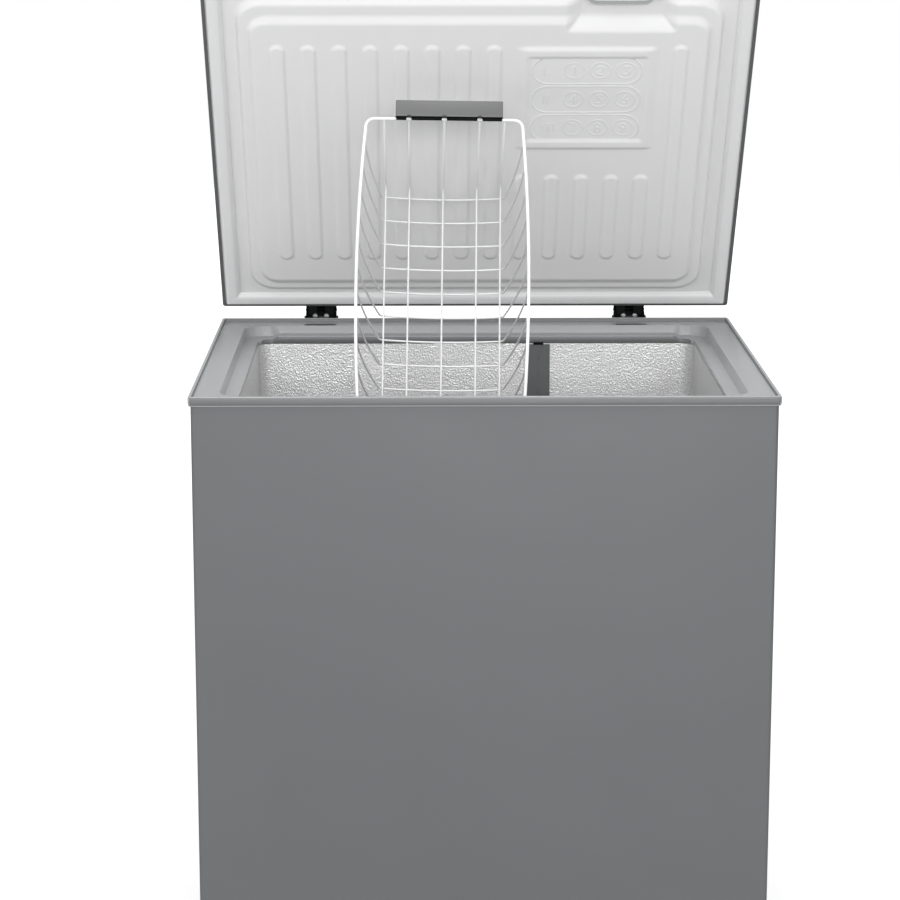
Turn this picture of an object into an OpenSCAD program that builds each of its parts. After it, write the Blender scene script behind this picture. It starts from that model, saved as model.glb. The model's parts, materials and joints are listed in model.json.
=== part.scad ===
// Chest freezer with a hinged lid, standing open, and a wire basket on end in it.
// Millimetres. X to the right, Y to the back, Z up; the front faces -Y.
// Lengths along Y are measured from the front face of the top frame and are
// shifted once, in placed(), so that the origin is under the middle of the outline.

/* [Cabinet] */
// Width of the painted cabinet
body_w = 694; // [680:2:740]
// Depth of the painted cabinet
body_d = 582; // [570:2:620]
// Height of the frame's top edge above the floor
rim_h = 800; // [760:5:860]
// Height of a foot
foot_h = 18; // [14:1:28]
// Radius of a foot
foot_r = 18; // [12:1:24]
// Distance of a foot's axis from the cabinet's edges
foot_inset = 45; // [35:1:60]
// Thickness of the painted steel
sheet = 0.8; // [0.6:0.1:1.2]
// Radius of the cabinet's upright edges
body_r = 4; // [3:0.5:6]
// Thickness of the foam under the compartment
floor_foam = 60; // [50:1:80]

/* [Top frame] */
// How far the frame stands out past the painted steel
frame_over = 3; // [2:0.5:5]
// Width of the frame's outer lip
lip_w = 4; // [3:0.5:5]
// Height of the lip above the shelf that the gasket meets
lip_h = 5; // [4:0.5:7]
// Height of the frame's outer face
frame_face = 10; // [9:0.5:14]
// Width of the shelf that the gasket meets
shelf_w = 30; // [27:0.5:34]
// Drop from the shelf to the ledge
step_h = 11; // [9:0.5:14]
// How much lower the ledges at the sides lie
side_drop = 4; // [3:0.5:6]
// Width of the ledge at each side
ledge_side = 19; // [15:1:22]
// Width of the ledge at the back
ledge_rear = 24; // [20:0.5:30]
// Width of the ledge at the front
ledge_front = 18; // [14:0.5:24]
// Radius of the shelf's inner corners
shelf_r = 28; // [20:1:36]
// Thickness of the frame's plastic
frame_t = 2.5; // [2:0.1:3]
// How far each side ledge runs round the rear corner
ledge_wrap = 20; // [14:1:30]

/* [Compartment] */
// Thickness of the liner
liner_t = 1; // [0.8:0.1:1.5]
// Radius of the liner's upright corners
liner_r = 20; // [14:1:40]
// Width of the step over the machine space
step_w = 199; // [170:1:210]
// Height of the step above the compartment's floor
step_up = 225; // [200:5:260]
// Foam between the step and the machine space
step_foam = 45; // [35:1:55]
// Width of the sensor channel's cover
channel_w = 31; // [20:0.5:34]
// Length of the sensor channel's cover
channel_l = 300; // [200:5:400]
// Thickness of the sensor channel's cover
channel_t = 4; // [3:0.5:6]
// Distance of the channel's middle from the compartment's middle
channel_x = 84.7; // [70:0.1:95]

/* [Lid] */
// Thickness of the closed lid
lid_t = 48; // [42:1:60]
// Radius of the lid's upper edges
lid_r = 6; // [4:0.5:9]
// Clearance between the closed lid and the frame
lid_gap = 0.3; // [0.2:0.05:0.5]
// Angle of the lid from closed, as it stands
lid_open = 55.5; // [40:0.5:70]
// Distance of the hinge axis behind the frame
pivot_back = 20; // [18:0.5:26]
// Distance of the hinge axis below the frame's top edge
pivot_down = 5; // [3:0.5:8]
// Width of the gasket
gasket_w = 20; // [16:0.5:22]
// Height of the lid panel's outer step
outer_step = 8; // [6:0.5:8.5]
// Height of the lid panel's inner step
inner_step = 5; // [3:0.5:8]
// Width of the slope on both steps
slope_w = 9; // [6:0.5:11]
// Width of the painted shell's edge, folded in round the lid's inner side
lid_fold = 4.5; // [3:0.1:5]
// Thickness of the lid's inner panel
panel_t = 1.5; // [1:0.1:2]
// Pitch of the ribs in the lid's inner panel
rib_pitch = 39.4; // [36:0.1:41]
// Width of a rib
rib_w = 20; // [12:0.5:24]
// Height of a rib
rib_h = 2.5; // [1.5:0.1:4]

/* [Hinges] */
// Distance of each hinge from the middle
hinge_x = 214; // [180:1:260]
// Width over a hinge's cheeks
hinge_w = 42; // [34:0.5:50]
// Thickness of a hinge's cheeks and plates
hinge_t = 3; // [2:0.1:4]
// Radius of a hinge pin
pin_r = 3; // [2.5:0.1:3.5]
// Radial clearance of a pin in its bores
pin_fit = 0.05; // [0.03:0.01:0.08]

/* [Basket] */
// Width of the basket over its rim, halfway along
basket_w = 216; // [190:1:225]
// Width of the basket over its rim, at its ends
basket_end_w = 198; // [180:1:202]
// Space left along the compartment by the basket's length over its rim
basket_play = 48; // [38:1:78]
// Depth of the basket to the corners of its floor
basket_d = 204.5; // [180:0.5:206]
// Width of the basket's floor
basket_floor_w = 160; // [150:1:166]
// How much shorter the basket is at its floor, at each end
basket_taper = 14; // [10:1:24]
// How much the floor's cross wires bow out at their middle
basket_sag = 8; // [4:0.5:10]
// How much the sides' cross wires bow out at their middle
side_bow = 4; // [0:0.5:5]
// Radius of the rim wire
rim_wire_r = 2; // [1.8:0.1:2.6]
// Radius of the thin wires
thin_wire_r = 1.2; // [1:0.1:1.6]
// Gap left between wires that are welded together
weld_gap = 0.15; // [0.1:0.05:0.3]
// Distance between neighbouring cross wires
cross_pitch = 33; // [28:0.1:38]
// Distance of the first cross wire from the basket's end
cross_first = 27; // [24:1:36]
// Lean of the basket from upright
basket_lean = 28; // [22:0.5:30]
// Tilt of the standing basket to the right
basket_roll = 0.9; // [0:0.1:1.5]
// Distance of the basket's middle from the freezer's middle
basket_x = -45.5; // [-80:0.5:-30]
// Clearance between the basket's lower grip and the compartment's front wall
basket_clear = 0.5; // [0.4:0.1:2]
// Height of the basket's top wire above the frame
basket_z = 303; // [280:1:310]
// Width of a basket grip
grip_w = 134; // [100:1:140]
// Height of a basket grip
grip_h = 24.5; // [18:0.5:26]
// Thickness of a basket grip
grip_t = 13; // [11:0.5:16]

/* [Controls and drain] */
// Width of the grille in the right side
grille_w = 240; // [200:2:260]
// Height of the grille
grille_h = 150; // [130:2:170]
// Radius of the thermostat knob
knob_r = 17; // [12:0.5:20]
// Radius of the knob's spindle
spindle_r = 3; // [2:0.1:4]
// Radial clearance of the spindle in its bore
spindle_fit = 0.05; // [0.03:0.01:0.08]
// Bore radius of the drain tube
drain_r = 9; // [7:0.5:12]
// Radial clearance of the drain plug in its tube
drain_fit = 0.08; // [0.04:0.01:0.1]

/* [Hidden] */
$fn = 48;
eps = 0.01;
gap = 0.2; // between pieces of one body that touch

frame_w = body_w + 2 * frame_over;
frame_d = body_d + 2 * frame_over;
opening_x = frame_w / 2 - lip_w - shelf_w - ledge_side;
opening_front = lip_w + shelf_w + ledge_front;
opening_rear = frame_d - lip_w - shelf_w - ledge_rear;
opening_d = opening_rear - opening_front;
opening_mid = (opening_front + opening_rear) / 2;
shelf_z = rim_h - lip_h;
ledge_z = shelf_z - step_h;
side_ledge_z = ledge_z - side_drop;
drop_h = 4; // of the frame's inner edge below its lowest ledge
frame_bottom = side_ledge_z - frame_t - drop_h;
frame_mid = frame_d / 2;
shelf_in_x = frame_w / 2 - lip_w - shelf_w;
shelf_in_d = frame_d - 2 * (lip_w + shelf_w);

pan_t = 1.2;
base_z = foot_h + pan_t;
floor_z = base_z + floor_foam;
step_z = floor_z + step_up;
liner_top = frame_bottom - gap;
step_x = opening_x - step_w;
inner_x = body_w / 2 - sheet;
inner_front = frame_over + sheet;
inner_rear = frame_d - frame_over - sheet;
machine_x = step_x + liner_t + step_foam;
machine_top = step_z - liner_t - step_foam;
machine_front = opening_front + 30;
machine_mid_x = (machine_x + inner_x) / 2;

pivot_y = frame_d + pivot_back;
pivot_z = rim_h - pivot_down;
lid_bottom = rim_h + lid_gap;
lid_top = lid_bottom + lid_t;
lid_w = frame_w;
lid_corner = 4;
frame_corner = 4;
lid_plane = lid_bottom + 1.7; // of the flange that the gasket hangs from
gasket_gap = 1.5; // from the gasket to the frame's lip
gasket_out_x = frame_w / 2 - lip_w - gasket_gap;
gasket_front = lip_w + gasket_gap;
gasket_rear = frame_d - lip_w - gasket_gap;
plateau_side = 4; // from the shelf's inner edge to the lid's outer step
plateau_x = shelf_in_x - plateau_side;
plateau_rear = frame_d - lip_w - shelf_w - plateau_side;
plateau_front = opening_front + 2 * plateau_side;
step_run = 20; // from the outer step's edge to the inner step's
rib_count = 14;
rib_margin = 62; // from the outer step's edge to a rib's end
rib_rear = plateau_rear - rib_margin;
rib_front = plateau_front + rib_margin;
notch_run = 44; // of the lamp's recess behind the outer step's front edge
notch_x = 178;
notch_w = 134;
notch_y = plateau_front + notch_run;
guide_l = 168; // of the raised frame beside the ribs
guide_front = notch_y + 24;
guide_rear = guide_front + guide_l;
guide_x0 = 46;
guide_x1 = 228;
guide_edge = 12; // width of the raised frame's border
short_rib_front = guide_rear + 38;

// The farthest point to the back is on the open lid's rounded rear edge.
outline_rear = pivot_y - (pivot_back + lid_r) * cos(lid_open)
             + (lid_top - lid_r - pivot_z) * sin(lid_open) + lid_r;
middle_y = outline_rear / 2;

cheek_r = 12;
knuckle_r = 8;
knuckle_w = 12;
cheek_gap = 0.3;
pin_l = hinge_w + 5;

grille_x = frame_w / 2 - 0.6; // outer face of the grille
grille_t = 5;
grille_y = machine_front + 40 + grille_w / 2;
grille_z = base_z + 30 + grille_h / 2;
dish_r = knob_r + 6;
dish_depth = 14;
knob_y = grille_y - grille_w / 2 + dish_r + 10;
knob_z = grille_z + grille_h / 2 - dish_r - 10;
spindle_bore = spindle_r + spindle_fit;
lamp_r = 4;
lamp_fit = 0.2;

drain_x = -opening_x + 90;
drain_y = opening_front + 90;
drain_wall = 2.5;
plug_head = 4;
plug_l = 22;

comp_y = inner_rear - 170;
comp_x = machine_mid_x + 4;
comp_r = 72;
comp_h = 150;
dome_r = 40;
heel_r = 22;
plate_z = base_z + 20;
plate_w = 150;
plate_d = 190;
plate_t = 3;
bolt_r = 3;

coil_s = 7; // side of the square evaporator and condenser tubes
coil_gap = 0.3;

// ---------- helpers ----------

// Shifts lengths measured from the frame's front so that the outline's middle is at the origin.
module placed() { translate([0, -middle_y, 0]) children(); }

// Turns the closed lid to where it stands.
module lid_placed() {
    placed() translate([0, pivot_y, pivot_z]) rotate([-lid_open, 0, 0])
        translate([0, -pivot_y, -pivot_z]) children();
}

// A box from its corners.
module box(x0, x1, y0, y1, z0, z1) {
    translate([x0, y0, z0]) cube([x1 - x0, y1 - y0, z1 - z0]);
}

// A rectangle with round corners, centred.
module rrect(w, d, r) {
    square([w - 2 * r, d], center = true);
    square([w, d - 2 * r], center = true);
    for (x = [-1, 1], y = [-1, 1])
        translate([x * (w / 2 - r), y * (d / 2 - r)]) circle(r);
}

// An upright prism with round corners between two heights.
module prism(w, y0, y1, r, z0, z1) {
    translate([0, (y0 + y1) / 2, z0]) linear_extrude(z1 - z0) rrect(w, y1 - y0, r);
}

// A ring between two such prisms.
module ring(w, y0, y1, r, wall, z0, z1) {
    difference() {
        prism(w, y0, y1, r, z0, z1);
        prism(w - 2 * wall, y0 + wall, y1 - wall, max(r - wall, 1), z0 - 1, z1 + 1);
    }
}

// A rod along X.
module rod_x(r, x0, x1) { translate([x0, 0, 0]) rotate([0, 90, 0]) cylinder(r = r, h = x1 - x0); }

// The compartment's space, grown by g on every wall.
module compartment(g) {
    prism(2 * (opening_x + g), opening_front - g, opening_rear + g, liner_r + g, step_z - g, liner_top + 1);
    translate([-step_w / 2, 0, 0])
        prism(2 * (opening_x + g) - step_w, opening_front - g, opening_rear + g, liner_r + g,
              floor_z - g, step_z + 1);
}

// The machine space under the step, open to the back and the right.
module machine_space() {
    box(machine_x, inner_x + 10, machine_front, inner_rear + 10, base_z - 10, machine_top);
}

// ---------- cabinet ----------

module cabinet_wrapper() color("#7b8083") placed()
    difference() {
        prism(body_w, frame_over, frame_d - frame_over - sheet, body_r, foot_h, rim_h - frame_face - gap);
        prism(2 * inner_x, inner_front, inner_rear + 20, body_r - sheet, foot_h - 1, rim_h);
        box(inner_x - 1, body_w, grille_y - grille_w / 2 + 6, grille_y + grille_w / 2 - 6,
            grille_z - grille_h / 2 + 6, grille_z + grille_h / 2 - 6);
    }

module rear_panel() color("#6d7275") placed()
    difference() {
        box(-body_w / 2, body_w / 2, inner_rear, inner_rear + sheet, foot_h, rim_h - frame_face - gap);
        box(machine_x + 10, inner_x - 10, inner_rear - 1, inner_rear + 2, base_z + 10, machine_top - 10);
    }

module base_pan() color("#9a9d9f") placed()
    difference() {
        prism(2 * (inner_x - gap), inner_front + gap, inner_rear - gap, body_r, foot_h, base_z);
        translate([drain_x, drain_y, 0]) cylinder(r = drain_r + drain_wall + gap, h = rim_h);
        box(machine_x + 30, inner_x - 30, machine_front + 40, machine_front + 120, 0, rim_h);
    }

module coil_rings(inset, g, z_list) {
    for (z = z_list)
        ring(2 * (inset + g), frame_mid_y(inset) - g, frame_mid_r(inset) + g, liner_r + g,
             coil_s + 2 * g, z - g, z + coil_s + g);
}
// Front and rear of a coil ring, which keeps one distance from the liner or the wrapper.
function frame_mid_y(inset) = inset > inner_x - 15 ? inner_front + 1 : opening_front - liner_t - coil_s - 1;
function frame_mid_r(inset) = inset > inner_x - 15 ? inner_rear - 1 : opening_rear + liner_t + coil_s + 1;

evap_x = opening_x + liner_t + coil_s + 1;
coil_x = 50; // from a coil's left end to its riser
evap_first = 60; // above the step
evap_pitch = 62;
evap_z = [for (i = [0:5]) step_z + evap_first + evap_pitch * i];
cond_x = inner_x - 1;
cond_first = 80; // above the step
cond_pitch = 74;
cond_z = [for (i = [0:4]) step_z + cond_first + cond_pitch * i];

module evaporator(g) {
    coil_rings(evap_x, g, evap_z);
    box(-evap_x + coil_x - g, -evap_x + coil_x + coil_s + g, frame_mid_r(evap_x) - coil_s - g,
        frame_mid_r(evap_x) + g, evap_z[0], evap_z[5] + 1);
}

module condenser(g) {
    coil_rings(cond_x, g, cond_z);
    box(-cond_x + coil_x - g, -cond_x + coil_x + coil_s + g, frame_mid_r(cond_x) - coil_s - g,
        frame_mid_r(cond_x) + g, cond_z[0], cond_z[4] + 1);
}

module heater_tube(g) {
    ring(2 * (frame_w / 2 - lip_w - 8 + g), lip_w + 8 - g, frame_d - lip_w - 8 + g, 20,
         5 + 2 * g, shelf_z - frame_t - 9 - g, shelf_z - frame_t - 4 + g);
}

module evaporator_coil() color("#c9ccce") placed() evaporator(0);
module condenser_coil() color("#b87b4a") placed() condenser(0);
module frame_heater_tube() color("#b87b4a") placed() heater_tube(0);

// The foam stands in six pieces that meet at mitres in the liner's corners: four
// walls round the compartment's outline, the floor, and the step.
split_x = step_x + liner_t + gap; // between the floor's foam and the step's
mitre_x = opening_x - liner_r;
mitre_front = opening_front + liner_r;
mitre_rear = opening_rear - liner_r;
mitre_l = 100; // farther out than any wall

module foam_wall(points)
    placed() difference() {
        intersection() {
            prism(2 * (inner_x - gap), inner_front + gap, inner_rear - gap, body_r, base_z + gap,
                  shelf_z - frame_t - gap);
            translate([0, 0, foot_h]) linear_extrude(rim_h) offset(delta = -gap / 2) polygon(points);
        }
        prism(2 * (opening_x + liner_t + gap), opening_front - liner_t - gap, opening_rear + liner_t + gap,
              liner_r + liner_t + gap, 0, rim_h);
        prism(2 * (shelf_in_x + frame_t + gap), lip_w + shelf_w - frame_t - gap,
              frame_d - lip_w - shelf_w + frame_t + gap, shelf_r, frame_bottom - gap, rim_h);
        machine_space();
        evaporator(coil_gap);
        condenser(coil_gap);
        heater_tube(coil_gap);
    }

module foam_front() color("#e8d9a8")
    foam_wall([[-mitre_x, mitre_front], [-mitre_x - mitre_l, mitre_front - mitre_l],
               [mitre_x + mitre_l, mitre_front - mitre_l], [mitre_x, mitre_front]]);

module foam_rear() color("#e8d9a8")
    foam_wall([[mitre_x, mitre_rear], [mitre_x + mitre_l, mitre_rear + mitre_l],
               [-mitre_x - mitre_l, mitre_rear + mitre_l], [-mitre_x, mitre_rear]]);

module foam_side(s)
    foam_wall([[s * mitre_x, mitre_front], [s * (mitre_x + mitre_l), mitre_front - mitre_l],
               [s * (mitre_x + mitre_l), mitre_rear + mitre_l], [s * mitre_x, mitre_rear]]);

module foam_left() color("#e8d9a8") foam_side(-1);
module foam_right() color("#e8d9a8") foam_side(1);

// The compartment's outline as one block of foam, from x0 to x1 and up to z1.
module foam_block(x0, x1, z1)
    intersection() {
        prism(2 * (opening_x + liner_t), opening_front - liner_t, opening_rear + liner_t,
              liner_r + liner_t, base_z + gap, z1);
        box(x0, x1, 0, frame_d, 0, rim_h);
    }

module foam_floor() color("#e8d9a8") placed()
    difference() {
        foam_block(-frame_w, split_x - gap / 2, floor_z - liner_t - gap);
        translate([drain_x, drain_y, 0]) cylinder(r = drain_r + drain_wall + gap, h = rim_h);
    }

module foam_step() color("#e8d9a8") placed()
    difference() {
        foam_block(split_x + gap / 2, frame_w, step_z - liner_t - gap);
        machine_space();
    }

module inner_liner() color("#c5c8ca") placed()
    difference() {
        compartment(liner_t);
        compartment(0);
        prism(2 * frame_w, -50, frame_d + 50, 10, liner_top, rim_h);
        translate([drain_x, drain_y, 0]) cylinder(r = drain_r + drain_wall + gap, h = floor_z + 20);
    }

// The part of the ledge that lies lower: both sides, round the rear corners.
module side_region(z0, z1) {
    for (s = [-1, 1]) {
        x = s * (opening_x - ledge_wrap);
        box(min(x, s * frame_w), max(x, s * frame_w), lip_w + shelf_w + 30, frame_d, z0, z1);
    }
}

module top_frame() color("#85898c") placed() {
    ring(frame_w, 0, frame_d, frame_corner, lip_w, rim_h - frame_face, rim_h);
    difference() {
        prism(frame_w - 2 * lip_w + 1, lip_w - 0.5, frame_d - lip_w + 0.5, 2, shelf_z - frame_t, shelf_z);
        prism(2 * shelf_in_x, lip_w + shelf_w, frame_d - lip_w - shelf_w, shelf_r, shelf_z - 10, rim_h);
        for (s = [-1, 1])
            box(s * hinge_x - hinge_w / 2, s * hinge_x + hinge_w / 2, frame_d - lip_w - shelf_w + 3,
                frame_d - lip_w - shelf_w + 5, shelf_z - 1, rim_h);
    }
    ring(2 * (shelf_in_x + frame_t), lip_w + shelf_w - frame_t, frame_d - lip_w - shelf_w + frame_t,
         shelf_r + frame_t, frame_t, side_ledge_z - frame_t, shelf_z);
    difference() {
        ledge_plate(ledge_z);
        side_region(ledge_z - 20, rim_h);
    }
    intersection() {
        ledge_plate(side_ledge_z);
        side_region(ledge_z - 20, rim_h);
    }
    // slanted faces where the low ledges end
    for (s = [-1, 1])
        translate([s * (opening_x - ledge_wrap), opening_rear + frame_t, 0]) rotate([90, 0, 180])
            linear_extrude(ledge_rear - frame_t)
                polygon([[s * 1, ledge_z], [s * 1, side_ledge_z - frame_t],
                         [-s * side_drop * 1.5, side_ledge_z - frame_t], [-s * side_drop * 1.5, side_ledge_z]]);
    ring(2 * (opening_x + frame_t), opening_front - frame_t, opening_rear + frame_t,
         liner_r + frame_t, frame_t, frame_bottom, side_ledge_z - frame_t + 1);
    difference() {
        ring(2 * (opening_x + frame_t), opening_front - frame_t, opening_rear + frame_t,
             liner_r + frame_t, frame_t, side_ledge_z - frame_t, ledge_z);
        side_region(side_ledge_z - eps, rim_h);
    }
}

module ledge_plate(z) {
    difference() {
        prism(2 * (shelf_in_x + 0.5), lip_w + shelf_w - 0.5, frame_d - lip_w - shelf_w + 0.5, shelf_r,
              z - frame_t, z);
        prism(2 * opening_x, opening_front, opening_rear, liner_r, z - 10, z + 10);
    }
}

channel_top = liner_top - 0.7;
slot_count = 12; // of the slots along the channel's cover
slot_pitch = channel_l / (slot_count + 0.5);
module channel_cover() color("#3c4043") placed()
    difference() {
        box(channel_x - channel_w / 2, channel_x + channel_w / 2, opening_rear - gap - channel_t,
            opening_rear - gap, channel_top - channel_l, channel_top);
        for (i = [0:slot_count - 1])
            box(channel_x - 1, channel_x + 1, opening_rear - gap - channel_t - 1,
                opening_rear - gap - channel_t + 1, channel_top - channel_l + slot_pitch * (i + 0.5),
                channel_top - channel_l + slot_pitch * (i + 0.9));
        box(channel_x - 7, channel_x + 7, opening_rear - channel_t - 1, opening_rear - channel_t + 1.5,
            channel_top - 4, liner_top);
    }

module foot(i) color("#2b2d2f") placed()
    translate([(i % 2 == 0 ? -1 : 1) * (body_w / 2 - foot_inset),
               i < 2 ? frame_over + foot_inset : frame_d - frame_over - foot_inset, 0]) {
        cylinder(r = foot_r, h = foot_h * 0.4);
        cylinder(r = foot_r * 0.7, h = foot_h - gap);
    }

// ---------- machine space ----------

module compressor_shell() color("#1f2022") placed()
    translate([comp_x, comp_y, plate_z + plate_t + gap]) rotate_extrude() {
        square([comp_r - dome_r, comp_h]);
        square([comp_r - heel_r, comp_h - dome_r]);
        translate([0, heel_r]) square([comp_r, comp_h - heel_r - dome_r]);
        translate([comp_r - heel_r, heel_r]) circle(heel_r);
        intersection() {
            translate([0, comp_h - dome_r]) square([comp_r, dome_r]);
            translate([comp_r - dome_r, comp_h - dome_r]) circle(dome_r);
        }
    }

function grommet_at(i) = [comp_x + (i % 2 == 0 ? -1 : 1) * (plate_w / 2 - 14),
                          comp_y + (i < 2 ? -1 : 1) * (plate_d / 2 - 14)];

module compressor_plate() color("#2a2b2d") placed()
    difference() {
        translate([comp_x, comp_y, plate_z]) linear_extrude(plate_t) rrect(plate_w, plate_d, 12);
        for (i = [0:3]) translate([grommet_at(i)[0], grommet_at(i)[1], 0]) cylinder(r = bolt_r + gap, h = rim_h);
    }

module grommet(i) color("#3a3a3a") placed()
    translate([grommet_at(i)[0], grommet_at(i)[1], base_z + gap])
        difference() {
            cylinder(r = 11, h = plate_z - base_z - 2 * gap);
            translate([0, 0, -1]) cylinder(r = bolt_r, h = rim_h);
        }

relay_w = 68;
relay_out = 32;
relay_h = 60;
relay_rise = 40; // above the compressor's plate
module relay_cover() color("#26282a") placed()
    box(comp_x - relay_w / 2, comp_x + relay_w / 2, comp_y - comp_r - relay_out, comp_y - comp_r - gap,
        plate_z + relay_rise, plate_z + relay_rise + relay_h);

drier_in = 26; // from the step's foam
drier_back = 80; // from the machine space's front, clear of the base pan's vent
drier_x = machine_x + drier_in;
drier_y = machine_front + drier_back;

drier_l = 90;
drier_rise = 60; // above the base pan
drier_stub = 12; // of the tube under the drier
module filter_drier() color("#b87b4a") placed()
    translate([drier_x, drier_y, base_z + drier_rise]) {
        cylinder(r = 10, h = drier_l);
        translate([0, 0, -drier_stub])
            cylinder(r = 3, h = machine_top - gap - base_z - drier_rise + drier_stub);
    }

line_in = 30; // from the shell's side to the lines
// Height of the shell's dome at a distance from its axis.
function dome_z(r) = comp_h - dome_r + sqrt(pow(dome_r, 2) - pow(max(r - comp_r + dome_r, 0), 2));

// A tube that rises from the compressor's side, bends and runs back into the foam.
module line_up(x, r) {
    bend = 16;
    rise = dome_z(norm([x - comp_x, comp_r - line_in]));
    z0 = plate_z + plate_t + 2 * gap + rise + r * 0.45;
    translate([x, comp_y + comp_r - line_in, z0]) {
        cylinder(r = r, h = machine_top - 2 * bend - z0);
        translate([0, -bend, machine_top - 2 * bend - z0]) rotate([0, -90, 0])
            rotate_extrude(angle = 90) translate([bend, 0]) circle(r);
        translate([0, -bend, machine_top - bend - z0]) rotate([90, 0, 0]) cylinder(r = r, h = 60);
    }
}

module suction_line() color("#b87b4a") placed() line_up(comp_x - 30, 4);
module discharge_line() color("#b87b4a") placed() line_up(comp_x + 30, 2.5);

module side_grille() color("#4b4f52") placed()
    difference() {
        union() {
            box(body_w / 2 + gap, grille_x, grille_y - grille_w / 2, grille_y + grille_w / 2,
                grille_z - grille_h / 2, grille_z + grille_h / 2);
            box(grille_x - grille_t, grille_x, grille_y - grille_w / 2 + 8, grille_y + grille_w / 2 - 8,
                grille_z - grille_h / 2 + 8, grille_z + grille_h / 2 - 8);
            translate([0, knob_y, knob_z]) rod_x(dish_r - 1, grille_x - dish_depth - 3, grille_x);
        }
        translate([0, knob_y, knob_z]) rod_x(dish_r - 4, grille_x - dish_depth, grille_x + 5);
        translate([0, knob_y, knob_z]) rod_x(spindle_bore, 0, frame_w);
        for (i = [0:2]) translate([0, indicator_y(i), knob_z]) rod_x(lamp_r + lamp_fit, 0, frame_w);
        for (k = [0:8])
            box(0, frame_w, grille_y - grille_w / 2 + 18, grille_y + grille_w / 2 - 18,
                grille_z - grille_h / 2 + 14 + 9 * k, grille_z - grille_h / 2 + 18.5 + 9 * k);
    }

function indicator_y(i) = knob_y + dish_r + 24 + 26 * i;

module indicator(i) color(["#2f9d4a", "#c8342c", "#d98a2b"][i]) placed()
    translate([0, indicator_y(i), knob_z]) rod_x(lamp_r, grille_x - 8, grille_x + 0.4);

module thermostat_body() color("#8f9294") placed()
    difference() {
        translate([0, knob_y, knob_z])
            box(grille_x - dish_depth - 33, grille_x - dish_depth - 3 - gap, -20, 20, -18, 18);
        translate([0, knob_y, knob_z]) rod_x(spindle_bore, grille_x - dish_depth - 23, frame_w);
    }

module thermostat_knob() color("#d7d9da") placed()
    translate([0, knob_y, knob_z])
        difference() {
            union() {
                rod_x(knob_r - 2, grille_x - dish_depth + 1, grille_x - 4);
                rod_x(spindle_r, grille_x - dish_depth - 22, grille_x - 5);
                box(grille_x - 5, grille_x - 0.5, -3, 3, -knob_r + 5, knob_r - 5);
            }
            box(grille_x - 1, grille_x + 1, -0.6, 0.6, knob_r - 11, knob_r);
        }

module rear_cover() color("#5a5e61") placed()
    difference() {
        box(machine_x + 5, inner_x - 5, inner_rear + sheet + gap, inner_rear + sheet + 2.2,
            base_z + 5, machine_top - 5);
        for (k = [0:9])
            box(machine_x + 25, inner_x - 25, 0, frame_d + 50, base_z + 60 + 14 * k, base_z + 66 + 14 * k);
        translate([machine_x + 30, 0, base_z + 32]) rotate([-90, 0, 0]) cylinder(r = 8 + gap, h = frame_d + 50);
    }

module inlet_gland() color("#1d1e20") placed()
    translate([machine_x + 30, 0, base_z + 32]) rotate([-90, 0, 0])
        difference() {
            union() {
                translate([0, 0, inner_rear - 8]) cylinder(r = 8, h = 22);
                translate([0, 0, inner_rear + sheet + 2.2 + gap]) cylinder(r = 12, h = 5);
            }
            cylinder(r = 4, h = frame_d + 50);
        }

module drain_tube() color("#d9dbdc") placed()
    translate([drain_x, drain_y, 0])
        difference() {
            union() {
                translate([0, 0, foot_h - 6]) cylinder(r = drain_r + drain_wall, h = floor_z - foot_h + 6);
                translate([0, 0, floor_z + gap]) cylinder(r = drain_r + drain_wall + 5, h = 2);
            }
            cylinder(r = drain_r, h = floor_z + 20);
        }

module drain_plug() color("#b9bcbe") placed()
    translate([drain_x, drain_y, floor_z + 2 + gap]) {
        translate([0, 0, -plug_l]) cylinder(r = drain_r - drain_fit, h = plug_l + 1);
        translate([0, 0, cheek_gap]) cylinder(r = drain_r + drain_wall + 2, h = plug_head);
        translate([0, 0, plug_head]) box(-8, 8, -2, 2, -1, 8);
    }

// ---------- hinges ----------

module at_hinge(s) translate([s * hinge_x, pivot_y, pivot_z]) children();

// A plate screwed to the cabinet's back, with two cheeks that carry the pin.
module hinge_lower(s) color("#1b1c1e") placed() {
    back_y = frame_d - frame_over - pivot_y + gap; // of the cabinet's back, from the pin
    difference() {
        at_hinge(s) {
            box(-hinge_w / 2, hinge_w / 2, back_y, back_y + hinge_t, -100, -frame_face + pivot_down - 1);
            for (c = [-1, 1]) translate([c * (hinge_w / 2 - hinge_t / 2) - hinge_t / 2, 0, 0]) {
                rod_x(cheek_r, 0, hinge_t);
                rotate([90, 0, 90]) linear_extrude(hinge_t)
                    polygon([[cheek_r, 0], [cheek_r, -4], [back_y + 1, -70], [back_y + 1, -frame_face + pivot_down - 1],
                             [frame_d + 1 - pivot_y, -frame_face + pivot_down - 1],
                             [frame_d + 1 - pivot_y, pivot_down - 2], [-cheek_r / 2, cheek_r * 0.85]]);
            }
        }
        at_hinge(s) rod_x(pin_r + pin_fit, -hinge_w, hinge_w);
    }
}

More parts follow.
